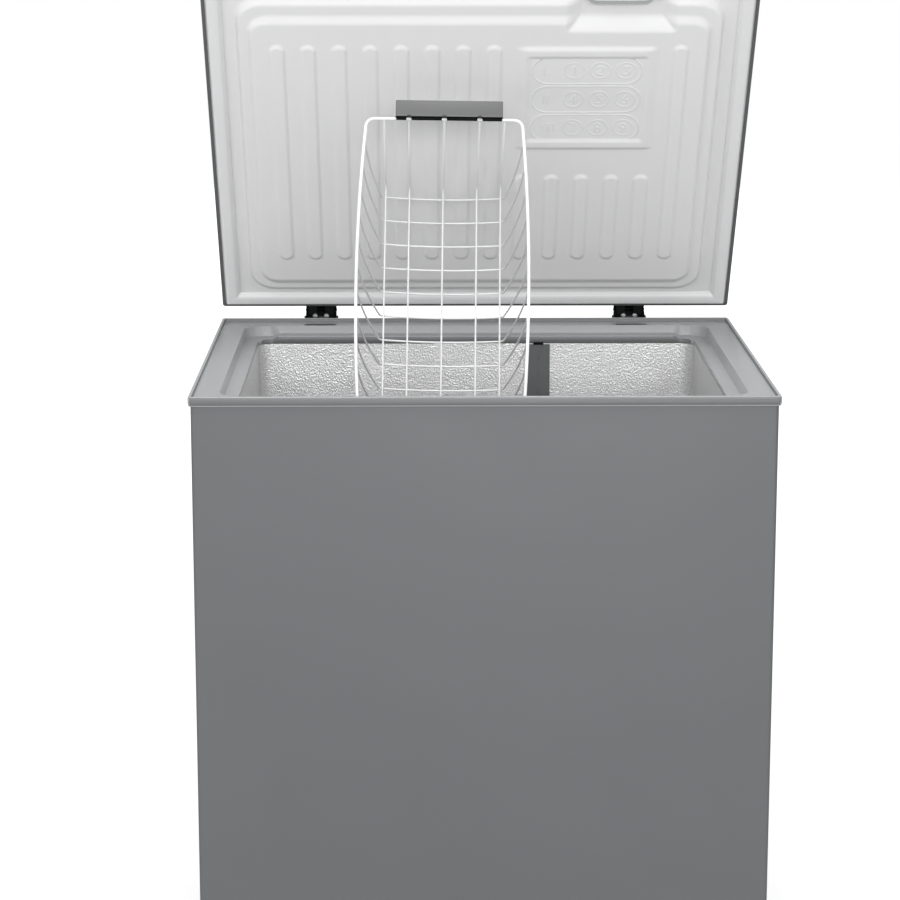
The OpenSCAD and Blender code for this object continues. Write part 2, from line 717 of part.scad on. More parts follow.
// A plate on the lid's back edge, with two knuckles round the pin.
module hinge_upper(s) color("#141516") lid_placed()
    difference() {
        at_hinge(s) {
            box(-hinge_w / 2, hinge_w / 2, -pivot_back + gap, -pivot_back + gap + hinge_t,
                pivot_down + lid_gap + 3, pivot_down + lid_t - lid_r);
            for (c = [-1, 1])
                translate([c * (hinge_w / 2 - hinge_t - cheek_gap - knuckle_w / 2) - knuckle_w / 2, 0, 0]) {
                    rod_x(knuckle_r, 0, knuckle_w);
                    rotate([90, 0, 90]) linear_extrude(knuckle_w)
                        polygon([[-pivot_back + gap, pivot_down + lid_gap + 3], [-pivot_back + gap, pivot_down + 30],
                                 [-pivot_back + gap + hinge_t, pivot_down + 30], [knuckle_r * 0.9, 3],
                                 [-3, -knuckle_r * 0.5]]);
                }
            // a wide web over the cheeks, and a narrow one between the knuckles
            rotate([90, 0, 90]) translate([0, 0, -hinge_w / 2]) linear_extrude(hinge_w)
                polygon([[-pivot_back + gap, pivot_down + lid_gap + 3], [-cheek_r * 0.67, cheek_r * 1.05],
                         [-cheek_r * 0.67, cheek_r * 1.3], [-pivot_back + gap + hinge_t, pivot_down + 15]]);
            rotate([90, 0, 90]) translate([0, 0, -hinge_w / 4]) linear_extrude(hinge_w / 2)
                polygon([[-pivot_back + gap + hinge_t, pivot_down + 30], [knuckle_r * 0.9, 3],
                         [knuckle_r * 0.9 - 0.8, 2.4], [-pivot_back + gap + hinge_t - 0.8, pivot_down + 29.4]]);
        }
        at_hinge(s) rod_x(pin_r + pin_fit, -hinge_w, hinge_w);
    }

module hinge_pin(s) color("#8b8e90") placed() at_hinge(s) {
    rod_x(pin_r, -pin_l / 2, pin_l / 2);
    for (c = [-1, 1]) translate([c * (pin_l / 2 - 1) - 1, 0, 0]) rod_x(pin_r + 2, 0, 2);
}

// Counterbalance coil round the pin, as one scalloped sleeve.
module hinge_spring(s) color("#5b5e60") placed() at_hinge(s) {
    coil_w = hinge_w - 2 * (hinge_t + 2 * cheek_gap + knuckle_w);
    turns = floor(coil_w / 2.6);
    rotate([0, 90, 0]) rotate_extrude() {
        translate([pin_r + 0.6, -turns * 1.3]) square([1.2, turns * 2.6]);
        for (k = [0:turns - 1]) translate([pin_r + 1.8, (k - (turns - 1) / 2) * 2.6]) circle(r = 1.25, $fn = 24);
    }
}

// ---------- lid, modelled closed ----------

module lid_outline(inset, z0, z1) {
    intersection() {
        prism(lid_w - 2 * inset, inset, frame_d - inset, lid_corner - inset, z0, z1);
        translate([-lid_w, 0, 0]) rotate([90, 0, 90]) linear_extrude(2 * lid_w)
            top_rounded(inset, frame_d - inset, z0, lid_top - inset);
        translate([0, 2 * frame_d, 0]) rotate([90, 0, 0]) linear_extrude(4 * frame_d)
            top_rounded(-lid_w / 2 + inset, lid_w / 2 - inset, z0, lid_top - inset);
    }
}

module top_rounded(a, b, z0, z1) {
    translate([a, z0]) square([b - a, z1 - z0 - lid_r]);
    translate([a + lid_r, z0]) square([b - a - 2 * lid_r, z1 - z0]);
    for (x = [a + lid_r, b - lid_r]) translate([x, z1 - lid_r]) circle(lid_r);
}

module lid_shell() color("#75797c") lid_placed()
    difference() {
        lid_outline(0, lid_bottom, lid_top);
        box(-lid_w / 2 + sheet, lid_w / 2 - sheet, sheet, frame_d - sheet, lid_bottom + sheet, lid_top - lid_r);
        box(-lid_w / 2 + lid_fold, lid_w / 2 - lid_fold, lid_fold, frame_d - lid_fold, lid_bottom - 1,
            lid_bottom + 2 * sheet);
        box(-lid_w / 2 + lid_r, lid_w / 2 - lid_r, lid_r, frame_d - lid_r, lid_bottom, lid_top - sheet);
    }

// The two raised steps of the panel, shrunk by g.
module plateau(g) {
    slope_prism(plateau_x - g, plateau_front + g, plateau_rear - g, 35, lid_plane + g, lid_plane - outer_step + g);
    slope_prism(plateau_x - step_run - g, plateau_front + step_run + g, plateau_rear - step_run - g, 25,
                lid_plane - outer_step + g, lid_plane - outer_step - inner_step + g);
}

module slope_prism(hx, y0, y1, r, z0, z1) {
    hull() {
        prism(2 * hx, y0, y1, r, z0, z0 + 0.5, $fn = 32);
        prism(2 * (hx - slope_w), y0 + slope_w, y1 - slope_w, r - slope_w / 2, z1, z1 + 0.5, $fn = 32);
    }
}

rib_z = lid_plane - outer_step - inner_step;
function rib_x(k) = (k - (rib_count - 1) / 2) * rib_pitch;
function rib_is_short(k) = k > 7 && k < 13;

module lid_inner_panel() color("#f2f3f3") lid_placed() {
    difference() {
        union() {
            box(-lid_w / 2 + sheet + gap, lid_w / 2 - sheet - gap, sheet + gap, frame_d - sheet - gap,
                lid_plane, lid_plane + panel_t);
            difference() {
                plateau(0);
                notch(0);
            }
        }
        difference() {
            plateau(panel_t);
            notch(panel_t);
        }
    }
    for (k = [0:rib_count - 1])
        box(rib_x(k) - rib_w / 2, rib_x(k) + rib_w / 2, rib_is_short(k) ? short_rib_front : rib_front,
            rib_rear, rib_z - rib_h, rib_z + 0.5);
    difference() {
        box(guide_x0, guide_x1, guide_front, guide_rear, rib_z - rib_h, rib_z + 0.5);
        box(guide_x0 + guide_edge, guide_x1 - guide_edge, guide_front + guide_edge, guide_rear - guide_edge,
            rib_z - rib_h - 1, rib_z + 0.2);
    }
}

// The recess in the panel's front edge that holds the lamp, grown by g.
module notch(g) {
    box(notch_x - notch_w / 2 - g, notch_x + notch_w / 2 + g, 0, notch_y + g, rim_h - 60, lid_plane + g);
}

module lid_foam() color("#e8d9a8") lid_placed()
    difference() {
        union() {
            box(-lid_w / 2 + lid_r, lid_w / 2 - lid_r, lid_r, frame_d - lid_r, lid_plane + panel_t + gap,
                lid_top - sheet - gap);
            plateau(panel_t + gap);
        }
        notch(panel_t + gap);
    }

module lid_gasket() color("#eceded") lid_placed() {
    ring(2 * gasket_out_x, gasket_front, gasket_rear, 6, gasket_w, lid_plane - 3, lid_plane - gap);
    ring(2 * gasket_out_x - 4, gasket_front + 2, gasket_rear - 2, 5, gasket_w - 8,
         shelf_z + lid_gap, lid_plane - 2.5);
}

handle_w = 180;
handle_out = 24; // from the lid's front face
handle_rise = 8; // above the lid's lower edge
handle_drop = 12; // from the lid's top to the handle's
handle_h = lid_t - handle_rise - handle_drop;
module lid_handle() color("#4b4f52") lid_placed()
    translate([-handle_w / 2, -gap, lid_bottom + handle_rise]) rotate([90, 0, 90]) linear_extrude(handle_w)
        polygon([[0, 0], [-handle_out / 4, 0], [-handle_out, handle_out * 0.6], [-handle_out, handle_h * 0.93],
                 [-handle_out * 0.75, handle_h], [0, handle_h]]);

lamp_x = notch_x - 3;
lamp_w = 84;
lamp_d = 28;
lamp_h = 9;
lamp_back = 54; // from the recess's rear edge to the lamp
lamp_y = notch_y - lamp_back;
module lamp_housing() color("#b4b7b9") lid_placed()
    translate([lamp_x, lamp_y, lid_plane - lamp_h])
        difference() {
            linear_extrude(lamp_h - gap) rrect(lamp_w, lamp_d, lamp_d / 2 - 2);
            translate([0, 0, -1]) linear_extrude(7) rrect(lamp_w - 12, lamp_d - 12, lamp_d / 2 - 8);
        }

module lamp_lens() color("#f6f6f2") lid_placed()
    translate([lamp_x, lamp_y, lid_plane - lamp_h - 1])
        linear_extrude(6.5) rrect(lamp_w - 12 - 2 * gap, lamp_d - 12 - 2 * gap, lamp_d / 2 - 8 - gap);

// ---------- basket, in its own axes: x across, y into its depth, z along it ----------

// Depth of the basket's top wire behind the frame's front, so that the lower grip clears the front wall.
basket_l = opening_d - basket_play;
basket_y = opening_front + basket_clear + (grip_t / 2 + 1) * cos(basket_lean)
         + (basket_l + grip_h - 2 * rim_wire_r) * sin(basket_lean);
grip_x = 6; // from the basket's middle to a grip's

module basket_placed() {
    placed() translate([basket_x, basket_y, rim_h + basket_z]) rotate([-basket_lean, 0, 0])
        rotate([0, basket_roll, 0]) children();
}

// A round wire swept along points that lie in one plane with normal n.
module wire(path, n, r, closed = false, sides = 8) {
    count = len(path);
    last = count - 1;
    ahead = [for (i = [0:last]) path[closed ? (i + 1) % count : min(i + 1, last)]];
    behind = [for (i = [0:last]) path[closed ? (i + last) % count : max(i - 1, 0)]];
    points = [for (i = [0:last]) let (t = ahead[i] - behind[i], b = cross(n, t) / norm(t))
        for (k = [0:sides - 1]) path[i] + r * (cos(360 * k / sides) * n + sin(360 * k / sides) * b)];
    walls = [for (i = [0:closed ? last : last - 1], k = [0:sides - 1]) let (j = (i + 1) % count, m = (k + 1) % sides)
        [i * sides + k, i * sides + m, j * sides + m, j * sides + k]];
    ends = closed ? [] : [[for (k = [sides - 1:-1:0]) k], [for (k = [0:sides - 1]) last * sides + k]];
    polyhedron(points, concat([for (w = walls) [w[0], w[3], w[2], w[1]]],
                              [for (e = ends) [for (i = [len(e) - 1:-1:0]) e[i]]]));
}

// A round corner at b between a and c, as points.
function corner(a, b, c, r, steps = 4) =
    let (u = (a - b) / norm(a - b), v = (c - b) / norm(c - b), half = acos(u * v) / 2,
         cut = r / tan(half), mid = b + (u + v) / norm(u + v) * r / sin(half),
         p = b + u * cut - mid, q = b + v * cut - mid, turn = acos(p * q / (r * r)))
    [for (i = [0:steps]) mid + (sin(turn * (1 - i / steps)) * p + sin(turn * i / steps) * q) / sin(turn)];

function half_width(z) =
    basket_end_w / 2 + (basket_w - basket_end_w) / 2 * (1 - pow(2 * z / basket_l + 1, 2)) - rim_wire_r;

rim_corner = 11;
side_steps = 12;
rim_bottom = rim_wire_r - basket_l;
rim_side = [for (i = [0:side_steps])
    let (z = -rim_corner + (2 * rim_corner - basket_l) * i / side_steps) [half_width(z), 0, z]];
rim_end_x = half_width(-rim_wire_r);

module basket_rim() color("#f4f4f4") basket_placed()
    wire(concat(corner([0, 0, -rim_wire_r], [rim_end_x, 0, -rim_wire_r], rim_side[1], rim_corner),
                [for (i = [1:side_steps - 1]) rim_side[i]],
                corner(rim_side[side_steps - 1], [rim_end_x, 0, rim_bottom], [0, 0, rim_bottom], rim_corner),
                corner([0, 0, rim_bottom], [-rim_end_x, 0, rim_bottom], mirrored(rim_side[side_steps - 1]), rim_corner),
                [for (i = [side_steps - 1:-1:1]) mirrored(rim_side[i])],
                corner(mirrored(rim_side[1]), [-rim_end_x, 0, -rim_wire_r], [0, 0, -rim_wire_r], rim_corner)),
         [0, 1, 0], rim_wire_r, closed = true);

function mirrored(p) = [-p[0], p[1], p[2]];

wire_start = rim_wire_r + 2 * weld_gap; // depth at which a thin wire's end meets the rim
corner_y = basket_d - thin_wire_r;
floor_x = basket_floor_w / 2;
bend_r = 16;
side_bend_r = 8;
long_x = [-0.349, -0.205, 0, 0.205, 0.349] * basket_w;

// Depth of a cross wire's middle line at a distance from the basket's middle.
function floor_y(x) = corner_y + basket_sag * (1 - pow(x / floor_x, 2));
// Depth of a long wire's middle line; the outer ones lie inside the cross wires' bends.
function long_y(x) = floor_y(x) - 2 * thin_wire_r - (abs(x) > floor_x - side_bend_r ? 1.8 : weld_gap);

module basket_long_wires() color("#f4f4f4") basket_placed()
    for (x = long_x) {
        a = [x, wire_start, -rim_wire_r];
        b = [x, long_y(x), -basket_taper];
        c = [x, long_y(x), basket_taper - basket_l];
        d = [x, wire_start, rim_wire_r - basket_l];
        wire(concat([a], corner(a, b, c, bend_r), corner(b, c, d, bend_r), [d]), [1, 0, 0], thin_wire_r);
    }

cross_count = floor((basket_l - 2 * cross_first) / cross_pitch) + 1;
bow_steps = 3;
floor_steps = 6;

module basket_cross_wires() color("#f4f4f4") basket_placed()
    for (k = [0:cross_count - 1]) {
        z = -cross_first - cross_pitch * k;
        top = [half_width(z), wire_start, z];
        foot = [floor_x, corner_y, z];
        right = [for (i = [0:bow_steps - 1]) let (t = i / bow_steps)
            top * (1 - t) + foot * t + [4 * side_bow * t * (1 - t), 0, 0]];
        flat = [for (i = [1:floor_steps - 1]) let (x = floor_x * (1 - 2 * i / floor_steps)) [x, floor_y(x), z]];
        wire(concat(right, corner(right[bow_steps - 1], foot, flat[0], side_bend_r), flat,
                    corner(flat[floor_steps - 2], mirrored(foot), mirrored(right[bow_steps - 1]), side_bend_r),
                    [for (i = [bow_steps - 1:-1:0]) mirrored(right[i])]), [0, 0, 1], thin_wire_r);
    }

// A grip clipped over the rim wire's straight end.
module grip() {
    difference() {
        box(-grip_w / 2, grip_w / 2, -grip_t / 2 - 1, grip_t / 2 - 1, -rim_wire_r * 2, grip_h - rim_wire_r * 2);
        box(-grip_w, grip_w, -rim_wire_r - gap, rim_wire_r + gap, -rim_wire_r * 2 - 1, gap);
        box(-grip_w, grip_w, rim_wire_r, grip_t, -rim_wire_r * 2 - 1, gap);
        box(-grip_w / 2 + 6, grip_w / 2 - 6, 0, grip_t, gap + 4, grip_h - rim_wire_r * 2 - 3);
    }
}

module basket_grip_top() color("#8e9193") basket_placed() translate([grip_x, 0, 0]) grip();
module basket_grip_bottom() color("#8e9193") basket_placed()
    translate([grip_x, 0, -basket_l]) mirror([0, 0, 1]) grip();

// ---------- what is drawn ----------

cabinet_wrapper();
rear_panel();
base_pan();
foam_front();
foam_rear();
foam_left();
foam_right();
foam_floor();
foam_step();
inner_liner();
top_frame();
evaporator_coil();
condenser_coil();
frame_heater_tube();
channel_cover();
compressor_shell();
compressor_plate();
relay_cover();
filter_drier();
suction_line();
discharge_line();
side_grille();
thermostat_body();
thermostat_knob();
rear_cover();
inlet_gland();
drain_tube();
drain_plug();
lid_shell();
lid_foam();
lid_inner_panel();
lid_gasket();
lid_handle();
lamp_housing();
lamp_lens();
basket_rim();
basket_long_wires();
basket_cross_wires();
basket_grip_top();
basket_grip_bottom();
for (i = [0:3]) foot(i);
for (i = [0:3]) grommet(i);
for (i = [0:2]) indicator(i);
for (s = [["left", -1], ["right", 1]]) {
    hinge_lower(s[1]);
    hinge_upper(s[1]);
    hinge_pin(s[1]);
    hinge_spring(s[1]);
}
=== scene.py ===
"""Chest freezer with its lid open and a wire basket standing in it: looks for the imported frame."""
import json
import math

import bmesh
import bpy
import numpy as np
from mathutils import Matrix, Vector


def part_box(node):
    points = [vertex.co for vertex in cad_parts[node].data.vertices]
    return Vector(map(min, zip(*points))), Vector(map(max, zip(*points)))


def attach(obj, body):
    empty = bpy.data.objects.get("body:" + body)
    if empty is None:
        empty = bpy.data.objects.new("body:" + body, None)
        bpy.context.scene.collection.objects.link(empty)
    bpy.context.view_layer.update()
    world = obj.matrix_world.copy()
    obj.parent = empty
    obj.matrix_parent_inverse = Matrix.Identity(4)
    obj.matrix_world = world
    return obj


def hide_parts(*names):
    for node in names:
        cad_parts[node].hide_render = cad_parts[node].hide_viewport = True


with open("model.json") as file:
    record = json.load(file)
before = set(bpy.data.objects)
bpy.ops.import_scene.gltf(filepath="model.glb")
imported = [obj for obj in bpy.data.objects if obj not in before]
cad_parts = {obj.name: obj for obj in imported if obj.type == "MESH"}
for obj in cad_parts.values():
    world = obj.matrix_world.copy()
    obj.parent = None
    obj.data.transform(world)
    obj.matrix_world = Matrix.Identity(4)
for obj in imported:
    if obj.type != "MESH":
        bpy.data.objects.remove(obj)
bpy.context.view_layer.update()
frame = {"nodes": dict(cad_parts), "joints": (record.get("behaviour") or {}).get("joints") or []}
nodes = frame["nodes"]

MM = 0.001

# ---------- places that the frame gives ----------

FRAME_LO, FRAME_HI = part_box("top_frame")
HALF_W = FRAME_HI.x / MM
FRONT = FRAME_LO.y
RIM_Z = FRAME_HI.z
DEPTH = (FRAME_HI.y - FRAME_LO.y) / MM

LID_JOINT = next(joint for joint in frame["joints"] if joint["name"] == "lid_hinge")
PIVOT = Vector(LID_JOINT["pos_m"])
LID_OPEN = math.radians(-LID_JOINT["range_deg"][0])
OPEN_LID = Matrix.Translation(PIVOT) @ Matrix.Rotation(-LID_OPEN, 4, "X") @ Matrix.Translation(-PIVOT)

# Sizes in millimetres. X is from the middle, Y from the frame's front face, Z from its top edge.
LIP_W = 4.0
LIP_H = 5.0
SHELF_W = 30.0
STEP_H = 11.0
SIDE_DROP = 4.0
LEDGE_SIDE = 19.0
LEDGE_REAR = 24.0
LEDGE_FRONT = 18.0
FRAME_FACE = 10.0
FACE_DROP = 1.8
SHELF_X = HALF_W - LIP_W - SHELF_W
SHELF_FRONT = LIP_W + SHELF_W
SHELF_REAR = DEPTH - LIP_W - SHELF_W
LEDGE_Z = -LIP_H - STEP_H
OPENING_X = SHELF_X - LEDGE_SIDE
OPENING_FRONT = SHELF_FRONT + LEDGE_FRONT
OPENING_REAR = SHELF_REAR - LEDGE_REAR
LID_PLANE = 2.0
HINGE_X = 214.0
SIDES = (("left", -1), ("right", 1))


def place(points):
    """Millimetre points of the cabinet's axes as scene positions."""
    return np.asarray(points, float) * MM + np.array([0.0, FRONT, RIM_Z])


def around_pivot(points):
    """Millimetre points measured from the lid's pivot as scene positions."""
    return np.asarray(points, float) * MM + np.array([0.0, PIVOT.y, PIVOT.z])


# ---------- mesh helpers ----------


def new_object(name, verts, faces, material, body, matrix=None):
    """A smooth mesh object in place, with one material, riding on a body."""
    mesh = bpy.data.meshes.new(name)
    mesh.from_pydata([tuple(vert) for vert in verts], [], [tuple(face) for face in faces])
    if matrix is not None:
        mesh.transform(matrix)
    mesh.update()
    mesh.polygons.foreach_set("use_smooth", [True] * len(mesh.polygons))
    obj = bpy.data.objects.new(name, mesh)
    bpy.context.scene.collection.objects.link(obj)
    mesh.materials.append(material)
    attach(obj, body)
    return obj


def outward(obj):
    """Turns the faces of a mesh outward."""
    bm = bmesh.new()
    bm.from_mesh(obj.data)
    bmesh.ops.recalc_face_normals(bm, faces=bm.faces)
    bm.to_mesh(obj.data)
    bm.free()


def smooth_by_angle(obj, degrees=35.0):
    """Keeps edges sharp where the faces beside them turn by more than an angle."""
    bm = bmesh.new()
    bm.from_mesh(obj.data)
    limit = math.radians(degrees)
    for edge in bm.edges:
        edge.smooth = not (len(edge.link_faces) == 2 and edge.calc_face_angle(0.0) > limit)
    bm.to_mesh(obj.data)
    bm.free()


def merge(parts):
    """Joins (verts, faces) pairs."""
    verts = []
    faces = []
    for part_verts, part_faces in parts:
        base = len(verts)
        verts.extend([tuple(vert) for vert in part_verts])
        faces.extend([tuple(index + base for index in face) for face in part_faces])
    return verts, faces


def loop_points(half_x, front, rear, radius, per_corner, per_side):
    """Points round a rectangle with round corners, closer together near the corners."""
    corners = [(half_x - radius, front + radius, -90), (half_x - radius, rear - radius, 0),
               (-half_x + radius, rear - radius, 90), (-half_x + radius, front + radius, 180)]
    arcs = []
    for middle_x, middle_y, start in corners:
        angle = np.radians(start + np.linspace(0, 90, per_corner))
        arcs.append(np.stack([middle_x + radius * np.cos(angle), middle_y + radius * np.sin(angle)], -1))
    share = 0.5 - 0.5 * np.cos(np.pi * np.linspace(0, 1, per_side + 2)[1:-1, None])
    points = []
    for arc, after in zip(arcs, arcs[1:] + arcs[:1]):
        points.append(arc)
        points.append(arc[-1] * (1 - share) + after[0] * share)
    return np.concatenate(points)


def loft(loops, ends_meet=False):
    """Quads between consecutive closed loops of equal length; the last and first can be joined too."""
    size = len(loops[0])
    faces = []
    for i in range(len(loops) if ends_meet else len(loops) - 1):
        here = i * size
        there = (i + 1) % len(loops) * size
        for k in range(size):
            after = (k + 1) % size
            faces.append((here + k, here + after, there + after, there + k))
    return np.concatenate(loops), faces


def tube(path, radius, closed, sides):
    """A round wire along points, as (verts, faces)."""
    points = np.asarray(path, float)
    if closed:
        tangents = np.roll(points, -1, 0) - np.roll(points, 1, 0)
    else:
        tangents = np.gradient(points, axis=0)
    tangents /= np.linalg.norm(tangents, axis=1)[:, None]
    side = np.cross(tangents[0], [0.0, 0.0, 1.0])
    if np.linalg.norm(side) < 0.2:
        side = np.cross(tangents[0], [0.0, 1.0, 0.0])
    angle = np.linspace(0, 2 * math.pi, sides, endpoint=False)
    rings = []
    for point, tangent in zip(points, tangents):
        side = side - tangent * (side @ tangent)
        side /= np.linalg.norm(side)
        up = np.cross(tangent, side)
        rings.append(point + radius * (np.cos(angle)[:, None] * side + np.sin(angle)[:, None] * up))
    verts, faces = loft(rings, closed)
    if not closed:
        faces.append(tuple(range(sides))[::-1])
        faces.append(tuple(range(len(verts) - sides, len(verts))))
    return verts, faces


def bevelled_box(x0, x1, y0, y1, z0, z1, bevel):
    """A box with round edges, as (verts, faces)."""
    bm = bmesh.new()
    bmesh.ops.create_cube(bm, size=1.0)
    for vert in bm.verts:
        vert.co = Vector(((x0 + x1) / 2 + vert.co.x * (x1 - x0), (y0 + y1) / 2 + vert.co.y * (y1 - y0),
                          (z0 + z1) / 2 + vert.co.z * (z1 - z0)))
    bmesh.ops.bevel(bm, geom=list(bm.edges), offset=bevel, segments=3, profile=0.5, affect="EDGES")
    bm.verts.ensure_lookup_table()
    verts = [tuple(vert.co) for vert in bm.verts]
    faces = [tuple(vert.index for vert in face.verts) for face in bm.faces]
    bm.free()
    return verts, faces


def round_path(points, radius, steps=7):
    """Points of a bent wire: straight stretches with round corners."""
    points = [np.asarray(point, float) for point in points]
    path = [points[0]]
    for before, corner, after in zip(points, points[1:], points[2:]):
        back = (before - corner) / np.linalg.norm(before - corner)
        ahead = (after - corner) / np.linalg.norm(after - corner)
        half = math.acos(float(np.clip(back @ ahead, -1, 1))) / 2
        cut = radius / math.tan(half)
        middle = corner + (back + ahead) / np.linalg.norm(back + ahead) * radius / math.sin(half)
        first = corner + back * cut - middle
        last = corner + ahead * cut - middle
        turn = math.acos(float(np.clip(first @ last / radius ** 2, -1, 1)))
        for i in range(steps + 1):
            share = i / steps
            spoke = math.sin(turn * (1 - share)) * first + math.sin(turn * share) * last
            path.append(middle + spoke / math.sin(turn))
    path.append(points[-1])
    return np.array(path)


# ---------- materials ----------


def add_node(tree, kind, inputs=None, **settings):
    """A new node; each of its inputs is given as a value or as another node's socket."""
    node = tree.nodes.new(kind)
    for key, value in settings.items():
        setattr(node, key, value)
    for key, value in (inputs or {}).items():
        if isinstance(value, bpy.types.NodeSocket):
            tree.links.new(value, node.inputs[key])
        else:
            node.inputs[key].default_value = value
    return node


class Shader:
    """A short way to wire a procedural material."""

    def __init__(self, name):
        self.material = bpy.data.materials.new(name)
        self.material.use_nodes = True
        self.tree = self.material.node_tree
        self.bsdf = self.tree.nodes["Principled BSDF"]

    def add(self, kind, inputs=None, **settings):
        """A new node in the material's tree."""
        return add_node(self.tree, kind, inputs, **settings)

    def place(self, scale=(1, 1, 1)):
        """The position on the object, stretched."""
        position = self.add("ShaderNodeTexCoord").outputs["Object"]
        return self.add("ShaderNodeMapping", {"Vector": position, "Scale": scale}).outputs[0]

    def noise(self, vector, scale, detail=3.0):
        """Soft noise from 0 to 1."""
        inputs = {"Vector": vector, "Scale": scale, "Detail": detail}
        return self.add("ShaderNodeTexNoise", inputs).outputs["Fac"]

    def ramp(self, value, low, high, start=0.35, end=0.65):
        """A colour between two, as a value goes from start to end."""
        node = self.add("ShaderNodeValToRGB", {"Fac": value})
        for stop, at, colour in zip(node.color_ramp.elements, (start, end), (low, high)):
            stop.position = at
            stop.color = (*colour, 1)
        return node.outputs["Color"]

    def bump(self, height, strength, distance):
        """Normals of a surface that stands up by a height."""
        inputs = {"Height": height, "Strength": strength, "Distance": distance}
        return self.add("ShaderNodeBump", inputs).outputs["Normal"]

    def set(self, **sockets):
        """Gives inputs of the surface; an underscore in a name stands for a space."""
        for key, value in sockets.items():
            socket = self.bsdf.inputs[key.replace("_", " ")]
            if isinstance(value, bpy.types.NodeSocket):
                self.tree.links.new(value, socket)
            else:
                socket.default_value = value


def grey(value):
    """A grey as a colour."""
    return (value, value, value)


def shades(colour, spread):
    """A darker and a lighter version of a colour."""
    return tuple(c * (1 - spread) for c in colour), tuple(min(c * (1 + spread), 1.0) for c in colour)


def plastic(name, colour, roughness, spread=0.03, grain=1400.0, depth=0.00002, coat=0.0, gloss=0.5):
    """Moulded plastic: faint mottling, fine skin grain and uneven gloss."""
    shader = Shader(name)
    position = shader.place()
    low, high = shades(colour, spread)
    uneven = shader.noise(position, 12.0, 2.0)
    shader.set(Base_Color=shader.ramp(shader.noise(position, 9.0, 4.0), low, high, 0.2, 0.8),
               Roughness=shader.ramp(uneven, grey(roughness - 0.02), grey(roughness + 0.02), 0.2, 0.8),
               Normal=shader.bump(shader.noise(position, grain, 2.0), 0.3, depth),
               Coat_Weight=coat, Coat_Roughness=0.2, Specular_IOR_Level=gloss)
    return shader.material


def paint(name, colour, roughness=0.34, metallic=0.12, flake=0.06):
    """Metallic paint: fine flake, a faint orange peel and broad unevenness."""
    shader = Shader(name)
    position = shader.place()
    low, high = shades(colour, flake)
    flakes = shader.ramp(shader.noise(position, 2600.0, 1.0), low, high)
    broad = shader.ramp(shader.noise(position, 2.2), grey(0.965), grey(1.0))
    mixed = shader.add("ShaderNodeMix", data_type="RGBA", blend_type="MULTIPLY")
    mixed.inputs["Factor"].default_value = 1.0
    shader.tree.links.new(flakes, mixed.inputs[6])
    shader.tree.links.new(broad, mixed.inputs[7])
    uneven = shader.noise(position, 14.0)
    shader.set(Base_Color=mixed.outputs[2], Metallic=metallic,
               Roughness=shader.ramp(uneven, grey(roughness - 0.03), grey(roughness + 0.04)),
               Normal=shader.bump(shader.noise(position, 380.0, 2.0), 0.12, 0.00004),
               Coat_Weight=0.05, Coat_Roughness=0.3, Specular_IOR_Level=0.18)
    return shader.material


def stucco(name, colour):
    """Stucco-embossed aluminium sheet: raised grains about two millimetres long."""
    shader = Shader(name)
    position = shader.place((1.0, 1.0, 0.8))
    cells = shader.add("ShaderNodeTexVoronoi", {"Vector": position, "Scale": 560.0, "Randomness": 1.0},
                       feature="SMOOTH_F1").outputs["Distance"]
    grains = shader.noise(position, 640.0, 1.0)
    height = shader.add("ShaderNodeMath", {0: cells, 1: grains}, operation="ADD").outputs[0]
    low, high = shades(colour, 0.14)
    shader.set(Base_Color=shader.ramp(grains, low, high, 0.3, 0.7), Metallic=0.55,
               Roughness=shader.ramp(shader.noise(position, 60.0), grey(0.34), grey(0.4)),
               Normal=shader.bump(height, 0.9, 0.0008))
    return shader.material


def metal(name, colour, roughness, stretch=(1, 1, 30)):
    """Plain sheet or wire metal with faint drawing lines."""
    shader = Shader(name)
    lines = shader.noise(shader.place(stretch), 160.0)
    low, high = shades(colour, 0.1)
    shader.set(Base_Color=shader.ramp(lines, low, high), Metallic=1.0,
               Roughness=shader.ramp(lines, grey(roughness - 0.06), grey(roughness + 0.08)),
               Normal=shader.bump(lines, 0.2, 0.00005))
    return shader.material


def foam(name, colour):
    """Cut polyurethane foam: pores and pale mottling."""
    shader = Shader(name)
    position = shader.place()
    pores = shader.add("ShaderNodeTexVoronoi", {"Vector": position, "Scale": 900.0}).outputs["Distance"]
    low, high = shades(colour, 0.08)
    shader.set(Base_Color=shader.ramp(shader.noise(position, 20.0, 4.0), low, high), Roughness=0.9,
               Normal=shader.bump(pores, 0.5, 0.0003))
    return shader.material


def lens(name, colour, roughness=0.15):
    """A tinted lamp lens with faint ribs."""
    shader = Shader(name)
    position = shader.place()
    ribs = shader.add("ShaderNodeTexWave", {"Vector": position, "Scale": 300.0, "Distortion": 0.4})
    low, high = shades(colour, 0.12)
    shader.set(Base_Color=shader.ramp(shader.noise(position, 120.0), low, high), Roughness=roughness,
               Normal=shader.bump(ribs.outputs["Fac"], 0.25, 0.0001), Coat_Weight=0.5)
    return shader.material


